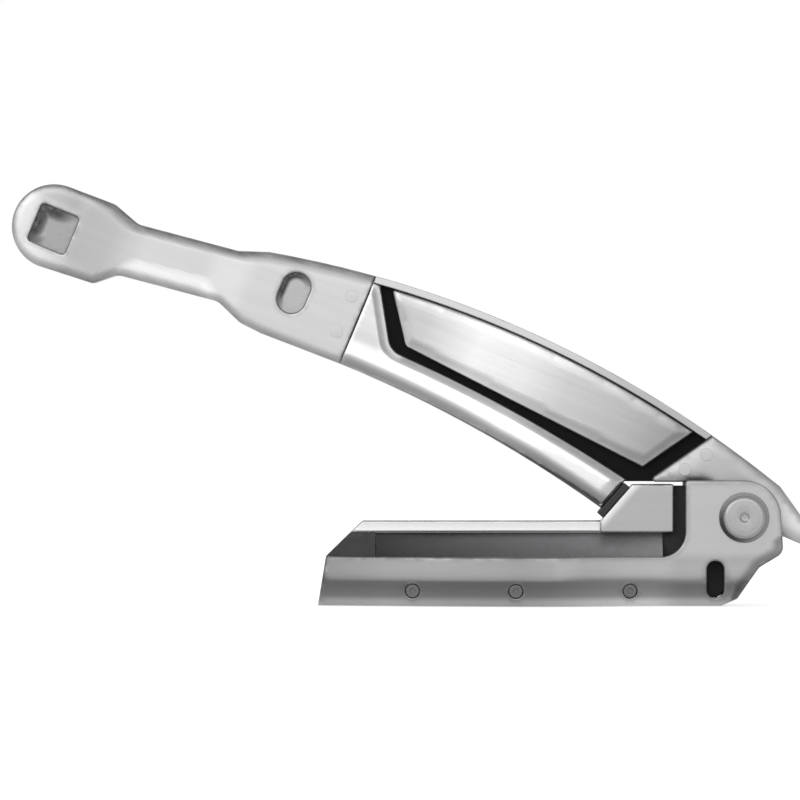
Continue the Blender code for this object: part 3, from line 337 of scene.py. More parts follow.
def refined(outline, step=OUTLINE_STEP):
    """A loop of (x, z, inward x, inward z) with places at most a step apart: each edge of the outline is cut
    into equal shares, and the direction inwards is shared out between the edge's two ends."""
    loop = left_turning(outline)
    apart = np.hypot(*(np.roll(loop, -1, axis=0) - loop).T) > 1e-4
    loop = np.hstack([loop[apart], inward(loop[apart])])
    edges = np.roll(loop, -1, axis=0) - loop
    counts = np.maximum(1, np.ceil(np.hypot(edges[:, 0], edges[:, 1]) / step)).astype(int)
    which = np.repeat(np.arange(len(loop)), counts)
    share = (np.arange(counts.sum()) - np.repeat(np.cumsum(counts) - counts, counts)) / counts[which]
    return loop[which] + edges[which] * share[:, None]


def circle(x, z, radius, steps=ROUND_STEPS):
    angles = np.linspace(0, math.tau, steps, endpoint=False)
    return np.stack([x + radius * np.cos(angles), z + radius * np.sin(angles)], axis=1)


def obround(x, low, high, width):
    half = width / 2
    return arc(x, high - half, half, 0.0, math.pi) + arc(x, low + half, half, math.pi, math.tau)


def along(edge, start, end, drop=0.0):
    """Points of a curved edge z = edge(x) - drop, from x = start to x = end."""
    stations = np.linspace(start, end, max(1, round(abs(end - start) / STATION_STEP)) + 1)
    return [(x, edge(x) - drop) for x in stations]


def beside(point, angle, distance):
    """The point moved by a distance to the left of a line at this angle."""
    return (point[0] - distance * math.sin(angle), point[1] + distance * math.cos(angle))


def crossing(first, first_angle, second, second_angle):
    """Where a line through first meets a line through second, each at its own angle."""
    reach_x, reach_z = second[0] - first[0], second[1] - first[1]
    across = math.sin(second_angle - first_angle)
    length = (reach_x * math.sin(second_angle) - reach_z * math.cos(second_angle)) / across
    return (first[0] + length * math.cos(first_angle), first[1] + length * math.sin(first_angle))


def meet(point, angle, edge, drop=0.0):
    """Where the line through a point at an angle meets the edge z = edge(x) - drop."""
    x = point[0]
    for _ in range(30):
        x = point[0] + (edge(x) - drop - point[1]) / math.tan(angle)
    return (x, edge(x) - drop)


def inner_corner(before, corner, after, distance):
    """The corner between two lines at these angles, after both are moved to their left by a distance."""
    return crossing(beside(corner, before, distance), before, beside(corner, after, distance), after)


def distance_to(loop, x, z):
    """Distance from each place (x, z) to the nearest edge of a loop: the place is dropped on to every edge,
    the foot is held between the edge's ends, and the least length is kept."""
    shape, loop = np.shape(x), loop[:, :2]
    places = np.stack([np.ravel(x), np.ravel(z)], axis=1)[:, None, :]
    edges = np.roll(loop, -1, axis=0) - loop
    reach = places - loop[None]
    share = (reach * edges).sum(axis=2) / (edges**2).sum(axis=1)
    gap = reach - np.clip(share, 0, 1)[:, :, None] * edges
    return np.sqrt((gap**2).sum(axis=2)).min(axis=1).reshape(shape)


def within(loop, x, z):
    """Whether each place lies in a loop: a level line from it crosses the loop an odd number of times."""
    start, end = loop[:, :2], np.roll(loop[:, :2], -1, axis=0)
    x, z = np.ravel(x)[:, None], np.ravel(z)[:, None]
    spans = (start[:, 1] > z) != (end[:, 1] > z)
    rise = np.where(np.abs(end[:, 1] - start[:, 1]) < 1e-12, 1e-12, end[:, 1] - start[:, 1])
    meets = start[:, 0] + (z - start[:, 1]) * (end[:, 0] - start[:, 0]) / rise
    return (spans & (x < meets)).sum(axis=1) % 2 == 1


def places_within(loops, margin, xs, zs):
    """The places of a grid of xs and zs that lie in the first loop, outside the others, and more than the
    margin from all of them."""
    x, z = (values.ravel() for values in np.meshgrid(xs, zs))
    kept = within(loops[0], x, z)
    for loop in loops[1:]:
        kept &= ~within(loop, x, z)
    x, z = x[kept], z[kept]
    for loop in loops:
        clear = distance_to(loop, x, z) > margin
        x, z = x[clear], z[clear]
    return np.stack([x, z], axis=1)


# Surfaces, as (points, wear, quads, triangles). Wear is 1 on an edge and fades on to the faces. The finishes
# also paint edge shade and edge highlight by it, and on the recess floors it holds painted shadow.


def joined(*surfaces):
    """Several surfaces as one."""
    starts = np.cumsum([0] + [len(surface[0]) for surface in surfaces[:-1]])
    points, wear, quads, triangles = zip(*surfaces)
    faces = [[index + start for index, start in zip(each, starts)] for each in (quads, triangles)]
    return tuple(np.concatenate(each) for each in (points, wear, *faces))


def outwards(surface):
    """The surface with its faces turned outwards, told by the sign of the volume that they close."""
    points, wear, quads, triangles = surface
    split = np.concatenate([triangles, quads[:, [0, 1, 2]], quads[:, [0, 2, 3]]])
    if np.linalg.det(points[split]).sum() < 0:
        quads, triangles = quads[:, ::-1], triangles[:, ::-1]
    return points, wear, quads, triangles


def wrapped_quads(rows, columns, start=0, closed=False):
    """Faces between neighbouring rows of a grid whose rows are rings, and if closed from the last to the
    first."""
    index = start + np.arange(rows * columns).reshape(rows, columns)
    if closed:
        index = np.concatenate([index, index[:1]])
    beside_it = np.roll(index, -1, axis=1)
    return np.stack([index[:-1], index[1:], beside_it[1:], beside_it[:-1]], axis=-1).reshape(-1, 4)


def slab(loops, near, far, rim, grid=None, fade=2.0):
    """A plate between two faces, y = near(x, z) and y = far(x, z), in the first loop and outside the others.
    Its rim is a quarter circle at each face: at angle t it stands rim (1 - sin t) inside the loop and
    rim (1 - cos t) under the face. The wall between the rims has two more rows. The faces are filled with
    triangles, through the grid's places if given. Wear is 1 on the rim and fades to 0 over a distance."""
    turn = np.linspace(0, math.pi / 2, RIM_STEPS + 1)
    insets = np.concatenate([[rim + FACE_RING], rim * (1 - np.sin(turn))])
    depths = np.concatenate([[0.0], rim * (1 - np.cos(turn))])
    worn = np.concatenate([[0.0 if grid is None else 1 - FACE_RING / fade], np.ones(RIM_STEPS + 1)])
    points, wear, quads, near_rows, far_rows, places = [], [], [], [], [], []
    start = 0
    for index, outline in enumerate(loops):
        loop, way = (outline, 1.0) if index == 0 else (outline[::-1], -1.0)
        count = len(loop)
        rings = loop[None, :, :2] + insets[:, None, None] * way * loop[None, :, 2:]
        x, z = rings[..., 0], rings[..., 1]
        near_rim = np.stack([x, near(x, z) + depths[:, None], z], -1)
        far_rim = np.stack([x, far(x, z) - depths[:, None], z], -1)[::-1]
        wall = far_rim[0] - near_rim[-1]
        thick = np.abs(wall[:, 1]).max()
        share = min(fade / thick, WALL_SHARE)
        walls = np.stack([near_rim[-1] + share * wall, far_rim[0] - share * wall])
        rows = np.concatenate([near_rim, walls, far_rim])
        points.append(rows.reshape(-1, 3))
        wall_worn = np.full(2, max(0.0, 1 - share * thick / fade))
        wear.append(np.repeat(np.concatenate([worn, wall_worn, worn[::-1]]), count))
        quads.append(wrapped_quads(len(rows), count, start))
        near_rows.append(start + np.arange(count))
        start += rows.shape[0] * count
        far_rows.append(start - count + np.arange(count))
        places.append(rings[0])
    inside = np.zeros((0, 2)) if grid is None else grid
    x, z = inside[:, 0], inside[:, 1]
    near_rows.append(start + np.arange(len(inside)))
    far_rows.append(start + len(inside) + np.arange(len(inside)))
    points += [np.stack([x, near(x, z), z], 1), np.stack([x, far(x, z), z], 1)]
    clear = [distance_to(outline, x, z) for outline in loops] if len(inside) else [np.zeros(0)]
    wear.append(np.tile(np.clip(1 - (np.min(clear, axis=0) - rim) / fade, 0, 1), 2))
    ends = np.cumsum([len(ring) for ring in places])
    bounds = [list(range(end - len(ring), end)) for ring, end in zip(places, ends)]
    flat = np.concatenate(places + [inside])
    found = delaunay_2d_cdt([Vector(place) for place in flat], [], bounds, 2, 1e-6)
    origin = np.array([sources[0] for sources in found[3]])
    filled = origin[np.array(found[2])]
    near_index, far_index = np.concatenate(near_rows), np.concatenate(far_rows)
    triangles = np.concatenate([near_index[filled], far_index[filled][:, ::-1]])
    return np.concatenate(points), np.concatenate(wear), np.concatenate(quads), triangles


def revolved(corners, x, z, steps=ROUND_STEPS, closed=False):
    """A profile with corners (radius, y, rounding) carried round the axis along y through (x, z): each place
    is (x + radius cos a, y, z + radius sin a). An open profile starts and ends on the axis, each end one
    point."""
    profile = np.array(rounded(corners) if closed else open_profile(corners), float)
    ring = profile if closed else profile[1:-1]
    angle = np.linspace(0, math.tau, steps, endpoint=False)[None]
    radius, y = ring[:, :1], ring[:, 1:]
    rows = np.stack([x + radius * np.cos(angle), y + 0 * angle, z + radius * np.sin(angle)], -1)
    points = rows.reshape(-1, 3)
    quads = wrapped_quads(len(ring), steps, closed=closed)
    triangles = np.zeros((0, 3), int)
    if not closed:
        poles = np.array([[x, profile[0, 1], z], [x, profile[-1, 1], z]])
        count = len(points)
        points = np.concatenate([points, poles])
        first = np.arange(steps)
        last = first + (len(ring) - 1) * steps
        near_fan = np.stack([np.full(steps, count), first, np.roll(first, -1)], 1)
        far_fan = np.stack([np.full(steps, count + 1), np.roll(last, -1), last], 1)
        triangles = np.concatenate([near_fan, far_fan])
    bend = corner_share(profile, closed)
    wear = np.repeat(bend if closed else bend[1:-1], steps)
    if not closed:
        wear = np.concatenate([wear, [0.0, 0.0]])
    return outwards((points, wear, quads, triangles))


def corner_share(profile, closed):
    """How much each point of a profile turns: 0 where it is straight, and 1 at FULL_TURN or more."""
    before = profile - np.roll(profile, 1, axis=0)
    after = np.roll(profile, -1, axis=0) - profile
    turn = np.arctan2(before[:, 0] * after[:, 1] - before[:, 1] * after[:, 0], (before * after).sum(axis=1))
    if not closed:
        turn[[0, -1]] = 0.0
    return np.clip(np.abs(turn) / FULL_TURN, 0, 1)


def open_profile(corners):
    """The points of a profile that starts and ends on the axis, with its corners turned on arcs."""
    reach = 4 * max(abs(corner[1]) for corner in corners)
    ends = [(-reach, corners[0][1]), (-reach, corners[-1][1])]
    outline = rounded([ends[0], *corners, ends[1]])
    return [point for point in outline if point[0] >= 0]


def sheet_between(upper, lower):
    """A closed sheet between two grids of points of the same size, with its four edges filled."""
    rows, columns = upper.shape[:2]
    index = np.arange(rows * columns).reshape(rows, columns)
    faces = np.stack([index[:-1, :-1], index[1:, :-1], index[1:, 1:], index[:-1, 1:]], -1).reshape(-1, 4)
    below = faces[:, ::-1] + rows * columns
    border = np.concatenate([index[0, :-1], index[:-1, -1], index[-1, :0:-1], index[:0:-1, 0]])
    after = np.roll(border, -1)
    strip = np.stack([border, after, after + rows * columns, border + rows * columns], 1)
    wear = np.zeros((rows, columns))
    wear[[0, -1]] = wear[:, [0, -1]] = 1
    points = np.concatenate([upper.reshape(-1, 3), lower.reshape(-1, 3)])
    quads = np.concatenate([faces, below, strip])
    return outwards((points, np.tile(wear.ravel(), 2), quads, np.zeros((0, 3), int)))


def pillowed(loop, half, crown, shoulder):
    """A face y that stands half at the middle and falls by the crown at the loop: y = half - crown
    (1 - d / shoulder)^2, with d the distance from the loop, held at the shoulder. Crown and shoulder are
    given in metres, and half is a number or a function of x."""
    depth, width = crown / MM, shoulder / MM

    def face(x, z):
        share = 1 - np.minimum(distance_to(loop, x, z) / width, 1.0)
        return (half(x) if callable(half) else half) - depth * share**2

    return face


def drafted(loop, run):
    """A slope beside the loop's front and upper edges: it eases from 1 at those edges to 0 over a run, times
    how far the place's direction from the loop's middle lies towards the front and top. The inlays also take
    this share as painted shadow."""
    middle = (loop[:, :2].min(axis=0) + loop[:, :2].max(axis=0)) / 2

    def share(x, z):
        aft, above = x - middle[0], z - middle[1]
        towards = (DRAFT_WAY[1] * above - DRAFT_WAY[0] * aft) / np.maximum(np.hypot(aft, above), 0.1)
        return smooth_step(1.5 * (1 - distance_to(loop, x, z) / run)) * smooth_step(0.3 + towards)

    return share


def flat(value):
    """A level face at y = value."""

    def face(x, z):
        return np.full(np.shape(x), float(value))

    return face


def mirrored(face):
    """The same face on the other side of the anchor."""

    def other(x, z):
        return -face(x, z)

    return other


def on_share(points):
    return points + [HINGE[0], 0.0, 0.0]


def on_shank(points):
    """Places along the shank turned to its slope at rest and moved to the hinge."""
    cos, sin = math.cos(SLOPE), math.sin(SLOPE)
    x, y, z = points.T
    return np.stack([HINGE[0] + x * cos + z * sin, y, HINGE[2] - x * sin + z * cos], axis=1)


def to_shank(x, z, slope=SLOPE):
    """A place given from the hinge axis in the share's directions, in the shank's at this slope."""
    return (x * math.cos(slope) - z * math.sin(slope), x * math.sin(slope) + z * math.cos(slope))


BODIES = {"share": on_share, "shank": on_shank}


def add_piece(name, surface, body, metal, slot, nodes, marks=None):
    """Writes a surface into a mesh, gives it its finish, and lets it ride in place of the nodes. Marks are
    further values for its points, by name, that its finish reads."""
    points, wear, quads, triangles = surface
    mesh = bpy.data.meshes.new(name)
    mesh.from_pydata((BODIES[body](points) * MM).tolist(), [], quads.tolist() + triangles.tolist())
    if mesh.validate():
        raise RuntimeError(f"{name} has faulty faces")
    mesh.polygons.foreach_set("use_smooth", np.ones(len(mesh.polygons), bool))
    mesh.set_sharp_from_angle(angle=SHARP_ANGLE)
    for mark, values in {"wear": wear, **(marks or {})}.items():
        mesh.attributes.new(mark, "FLOAT", "POINT").data.foreach_set("value", values.astype(np.float32))
    mesh.materials.append(metal)
    piece = bpy.data.objects.new(name, mesh)
    bpy.context.scene.collection.objects.link(piece)
    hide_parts(*nodes)
    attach(piece, body)


def refinish(metal, *nodes):
    """Gives a CAD node that stays its finish."""
    for node in nodes:
        mesh = frame["nodes"][node].data
        mesh.materials.clear()
        mesh.materials.append(metal)


# The share's lines


def smooth_step(value):
    value = np.clip(value, 0.0, 1.0)
    return value * value * (3 - 2 * value)


def soft_ramp(value):
    """max(value, 0) with its corner rounded at the chine."""
    return (value + np.sqrt(value**2 + CHINE_ROUND**2)) / 2


def spread(x):
    """0 at the ears and 1 where the share is widest, and on to its toe."""
    return smooth_step((-x - WING_START) / (WING_STATION - WING_START))


def plan_half_width(x):
    """Half the share's breadth at its chine: eased from the ears to the wing, then a quarter sine to the
    toe."""
    share = np.clip((x + TOE_REACH) / (TOE_REACH - WING_STATION), 0.0, 1.0)
    ahead = TOE_HALF_WIDTH + (WING_HALF_WIDTH - TOE_HALF_WIDTH) * np.sin(share * math.pi / 2)
    return np.where(x > -WING_STATION, EAR_OUTER + (WING_HALF_WIDTH - EAR_OUTER) * spread(x), ahead)


def side_y(x, z):
    """Outer face of a side plate: the half breadth, less a lean under the chine and one over it."""
    below = BAND_LEAN * soft_ramp(CHINE_HEIGHT - z) / CHINE_HEIGHT
    run = RIM_HEIGHT - CHINE_HEIGHT
    above = RIM_LEAN * (soft_ramp(z - CHINE_HEIGHT) - soft_ramp(z - RIM_HEIGHT)) / run
    return plan_half_width(x) - below - above * spread(x)


def inner_side(x, z):
    return side_y(x, z) - PLATE


def filling_y(x, z):
    """Side of a piece that fits between the side plates."""
    return inner_side(x, z) - GAP


def toe_side(x, z):
    """Side of the toe: it fills the plates up to the mouldboards' edge, then follows their hollow curve."""
    rise = np.clip((z - MOULD_EDGE) / (SPINE_BASE - GAP - MOULD_EDGE), 0.0, 1.0)
    out = 1 - rise ** (1 / MOULD_CURL)
    foot = filling_y(x, np.full_like(x, MOULD_EDGE))
    curved = TOE_TOP_HALF + (foot - 2 * GAP - TOE_TOP_HALF) * out
    return np.where(z < MOULD_EDGE, filling_y(x, z), np.minimum(curved, filling_y(x, z)))


HORN_FACE = math.atan2(HORN_TOP - SPINE_HEIGHT, HORN_FRONT - HORN_FOOT)
KICK_START = (-SOLE_FLAT_END, 0.0)
KICK_KNEE = (-5.5, SOLE_THICKNESS)
KICK_TOP = (LUG_AFT, CHINE_HEIGHT)
KICK_SLOPE = math.atan2(KICK_KNEE[1] - KICK_START[1], KICK_KNEE[0] - KICK_START[0])
KICK_STEEP = math.atan2(KICK_TOP[1] - KICK_KNEE[1], KICK_TOP[0] - KICK_KNEE[0])


# The shank's lines


def back_edge(x):
    return BACK_HEIGHT - (x + BACK_STATION) ** 2 / (2 * BACK_RADIUS)


def belly_edge(x):
    return BELLY_HEIGHT - (x + BELLY_STATION) ** 2 / (2 * BELLY_RADIUS)


def rail_edge(x):
    return BELLY_HEIGHT + RAIL_DEPTH - (x + BELLY_STATION) ** 2 / (2 * RAIL_RADIUS)


def neck_edge(x, side):
    """Upper (side 1) or lower (side -1) edge of the neck."""
    return NECK_RISE + NECK_SLOPE * (x + NECK_FRONT) + side * NECK_HEIGHT / 2


HORN_START = (HORN_FOOT, SPINE_HEIGHT - AXIS_HEIGHT)
STOP_FOOT = to_shank(*beside(HORN_START, HORN_FACE, GAP + BUFFER_THICKNESS + STOP_GAP))
STOP_LEAN = HORN_FACE + SLOPE
STOP_TOP = meet(STOP_FOOT, STOP_LEAN, rail_edge)


def head_half_width(x):
    """The eye pad and neck are thinner than the body, with an eased flank between."""
    blend = smooth_step((x + NECK_BACK + FLANK_RUN) / (2 * FLANK_RUN))
    return PAD_HALF_WIDTH + (BODY_HALF_WIDTH - PAD_HALF_WIDTH) * blend


def head_outline(end=JOINT):
    pad_end = -EYE_REACH + PAD_LENGTH
    body = -NECK_BACK + BODY_SHOULDER
    pad = arc(-EYE_REACH, PAD_RISE, PAD_RADIUS, 1.5 * math.pi, 0.5 * math.pi)
    top = [
        (pad_end, PAD_RISE + PAD_RADIUS + 1.0, PAD_ROUND),
        (-NECK_FRONT, neck_edge(-NECK_FRONT, 1), HEAD_ROUND),
        (-NECK_BACK, neck_edge(-NECK_BACK, 1), HEAD_ROUND),
        (body, back_edge(body), PAD_ROUND),
    ]
    bottom = [
        (end, belly_edge(JOINT)),
        (body + THROAT_RUN, belly_edge(JOINT) - 1.5, HEAD_ROUND),
        (body, belly_edge(JOINT) - 0.5, HEAD_ROUND),
        (-NECK_BACK, neck_edge(-NECK_BACK, -1), HEAD_ROUND),
        (-NECK_FRONT, neck_edge(-NECK_FRONT, -1), HEAD_ROUND),
        (pad_end + 6.0, PAD_RISE - PAD_RADIUS + 3.0, PAD_ROUND),
    ]
    return rounded(pad + top + along(back_edge, body + 12.0, end) + bottom)


def eye_square(side, corner):
    half = side / 2
    corners = ((-half, -half), (-half, half), (half, half), (half, -half))
    return rounded([(x - EYE_REACH, z, corner) for x, z in corners])


def oval(inset):
    half = OVAL_HEIGHT / 2 - inset
    return obround(-OVAL_REACH, OVAL_RISE - half, OVAL_RISE + half, OVAL_WIDTH - 2 * inset)


def leg_top():
    x = JOINT + GAP + LEG_WIDTH
    return (x, back_edge(x) - CROWN_THICKNESS - GAP)


def leg_foot():
    x = leg_top()[0] + LEG_RUN
    return (x, rail_edge(x))


def cheek_base(x):
    """Bottom edge of the cheeks: a straight line over a groove that widens aft."""
    front, aft = leg_foot()[0], STOP_TOP[0]
    start, end = rail_edge(front) + GROOVE_FRONT, rail_edge(aft) + GROOVE_AFT
    return start + (end - start) * (x - front) / (aft - front)


def cheek_outline():
    drop = CROWN_THICKNESS + 2 * GAP
    shift = GROOVE_FRONT / math.sin(math.atan2(leg_top()[1] - leg_foot()[1], LEG_RUN))
    front_low = (leg_foot()[0] + shift, cheek_base(leg_foot()[0] + shift), CHEEK_CORNER)
    edge = beside(HEEL_FOOT, HEEL_LEAN, HEEL_GROOVE)
    aft_high = meet(edge, HEEL_LEAN, back_edge, drop)
    aft_low = meet(edge, HEEL_LEAN, cheek_base)
    top = along(back_edge, leg_top()[0] + shift, aft_high[0], drop)
    return rounded([front_low, (*top[0], TIP_CORNER), *top[1:], (*aft_low, TIP_CORNER)])


def rail_outline(past=0.0):
    """The rail's outline, or, for its rounding, one that runs on past the joints with the head and crown."""
    front = JOINT + GAP - past
    top, foot = leg_top(), leg_foot()
    up = past / (top[1] - foot[1])
    corners = [
        (front, back_edge(front) - CROWN_THICKNESS - 2 * GAP + past),
        (top[0] + up * (top[0] - foot[0]), top[1] - GAP + up * (top[1] - foot[1]), TIP_CORNER),
        (*foot, LEG_CORNER),
    ]
    top = along(rail_edge, foot[0] + 24.0, STOP_TOP[0])
    bottom = along(belly_edge, meet(STOP_FOOT, STOP_LEAN, belly_edge)[0], front)
    return rounded(corners + top + bottom)


def crown_outline():
    edge = beside(HEEL_FOOT, HEEL_LEAN, GAP)
    top = along(back_edge, JOINT + GAP, meet(edge, HEEL_LEAN, back_edge)[0])
    low_end = meet(edge, HEEL_LEAN, back_edge, CROWN_THICKNESS)[0]
    return top + along(back_edge, low_end, JOINT + GAP, CROWN_THICKNESS + CROWN_SEAM)


def heel_outline():
    base = to_shank(LUG_AFT, LUG_TOP - AXIS_HEIGHT, SLOPE + OPENING)[1] + STOP_GAP
    foot = crossing(HEEL_FOOT, HEEL_LEAN, to_shank(0.0, HEEL_UNDERSIDE), SLOPE)
    top = meet(HEEL_FOOT, HEEL_LEAN, back_edge)
    outline = [(*foot, 2.0)]
    outline += along(back_edge, top[0], TAIL_REACH - 30.0)
    outline += [(TAIL_REACH - 12.0, TAIL_TOP, 10.0), (TAIL_REACH, TAIL_NOSE, 6.0), (TAIL_REACH, base, 3.0)]
    outline += arc(0.0, 0.0, HUB_RADIUS, math.tau + math.asin(base / HUB_RADIUS), math.pi + SLOPE)
    outline.append((*to_shank(-HUB_RADIUS, HEEL_UNDERSIDE), 6.0))
    return rounded(outline)


def web_base(x):
    return belly_edge(x) + 1.5


def web_outline():
    low, high = belly_edge(JOINT) + WEB_TONGUE_INSET, back_edge(JOINT) - WEB_TONGUE_INSET
    tongue, joint = JOINT - WEB_TONGUE, JOINT + GAP
    beside_stop = beside(STOP_FOOT, STOP_LEAN, GAP)
    over_horn = HEEL_UNDERSIDE + GAP
    heel_low = (WEB_END - to_shank(0.0, over_horn)[0]) / math.cos(SLOPE)
    outline = [(tongue, low), (joint, low)]
    outline += along(web_base, joint, meet(beside_stop, STOP_LEAN, web_base)[0])
    outline.append(crossing(beside_stop, STOP_LEAN, to_shank(0.0, over_horn), SLOPE))
    outline.append(to_shank(heel_low, over_horn))
    outline += along(back_edge, WEB_END, joint, CROWN_THICKNESS + GAP)
    return outline + [(joint, high), (tongue, high)]


def side_plate_outline():
    forward = [
        (-TOE_REACH, 0.0),
        (-TOE_REACH + TOE_RAKE, RIM_HEIGHT, PLATE_CORNER),
        (-EAR_LENGTH, RIM_HEIGHT, EAR_FILLET),
        (-EAR_LENGTH, AXIS_HEIGHT + EAR_RADIUS, PLATE_CORNER),
    ]
    aft = [
        (EAR_RADIUS + EAR_FLARE, AXIS_HEIGHT - EAR_DROP, EAR_HEEL_CORNER),
        (LUG_AFT + EAR_COVER, LUG_TOP, KICK_CORNER),
        (KICK_TOP[0] + 1.5, KICK_TOP[1], KICK_CORNER),
        (KICK_KNEE[0] + 1.5, KICK_KNEE[1], KICK_CORNER),
        KICK_START,
    ]
    return rounded(forward + arc(0.0, AXIS_HEIGHT, EAR_RADIUS, math.pi / 2, EAR_KNEE) + aft)


def sole_outline():
    front, thick = NOSE_BACK + GAP, SOLE_THICKNESS
    bends = [
        inner_corner(KICK_STEEP, KICK_TOP, math.pi / 2, thick),
        inner_corner(KICK_SLOPE, KICK_KNEE, KICK_STEEP, thick),
        inner_corner(0.0, KICK_START, KICK_SLOPE, thick),
    ]
    under = [(front, 0.0), KICK_START, (*KICK_KNEE, KICK_BEND), (*KICK_TOP, KICK_BEND)]
    lug = [(LUG_AFT, LUG_TOP, 0.8), (LUG_AFT - thick, LUG_TOP, 0.8)]
    return rounded(under + lug + [(*bend, KICK_BEND) for bend in bends] + [(front, thick)])


def keel_outline():
    front, base, top = NOSE_BACK + GAP, SOLE_THICKNESS + GAP, SPINE_BASE - GAP
    return rounded([
        (front, base),
        (front, top),
        (HORN_FOOT + 4.0, top),
        (-HORN_AFT - 12.0, HORN_TOP - 8.0, 2.0),
        (-HORN_AFT + GAP, HORN_TOP - 8.0),
        (-HORN_AFT + GAP, HORN_TOP - 1.0),
        (-KEEL_AFT, HORN_TOP - 1.0, KEEL_CORNER),
        (-KEEL_AFT, AXIS_HEIGHT - KEEL_AFT + 6.0, KEEL_CORNER),
        (-KEEL_HEEL, AXIS_HEIGHT - 25.0, KEEL_CORNER),
        (-KEEL_HEEL, base + SOLE_THICKNESS + 2.0),
        (-SOLE_FLAT_END - 2.0, base),
    ])


def spine_outline():
    return rounded([
        (NOSE_TIP, SPINE_BASE),
        (NOSE_TIP + SPINE_RAKE, SPINE_HEIGHT, PLATE_CORNER),
        (-HORN_AFT - 2.0, SPINE_HEIGHT),
        (-HORN_AFT - 2.0, SPINE_BASE),
    ])


def horn_outline():
    corners = [(HORN_FRONT, HORN_TOP), (-HORN_AFT, HORN_TOP), (-HORN_AFT, SPINE_BASE - HORN_SEAT),
               (HORN_FOOT, SPINE_BASE - HORN_SEAT)]
    return rounded([(HORN_FOOT, SPINE_HEIGHT - HORN_SEAT)] + [(*corner, HORN_CORNER) for corner in corners])


def buffer_outline():
    """The strip on the horn's sloping face, short of the face's two ends."""
    run, rise = BUFFER_END * math.cos(HORN_FACE), BUFFER_END * math.sin(HORN_FACE)
    low, high = (HORN_FOOT + run, SPINE_HEIGHT + rise), (HORN_FRONT - run, HORN_TOP - rise)
    outer = [(*beside(end, HORN_FACE, GAP + BUFFER_THICKNESS), 1.0) for end in (low, high)]
    return rounded([beside(low, HORN_FACE, GAP), *outer, beside(high, HORN_FACE, GAP)])


def toe_outline():
    return rounded([
        (-TOE_REACH, 0.0),
        (-TOE_REACH + TOE_RAKE, RIM_HEIGHT, PLATE_CORNER),
        (NOSE_TIP, SPINE_BASE - GAP, PLATE_CORNER),
        (NOSE_BACK, SPINE_BASE - GAP),
        (NOSE_BACK, 0.0),
    ])


# Finishes


class Tree:
    """The node tree of a material or a world, and ways to add to it"""

    def __init__(self, owner):
        owner.use_nodes = True
        self.owner = owner
        self.nodes, self.links = owner.node_tree.nodes, owner.node_tree.links

    def node(self, kind, inputs=(), **settings):
        """A new node with its settings, and with each input linked to a socket or set to a value."""
        made = self.nodes.new(f"ShaderNode{kind}")
        for key, value in settings.items():
            setattr(made, key, value)
        for key, value in dict(inputs).items():
            if isinstance(value, bpy.types.NodeSocket):
                self.links.new(value, made.inputs[key])
            else:
                made.inputs[key].default_value = value
        return made

    def math(self, operation, first, second):
        """The result of a Math node on two sockets or numbers."""
        return self.node("Math", {0: first, 1: second}, operation=operation).outputs[0]


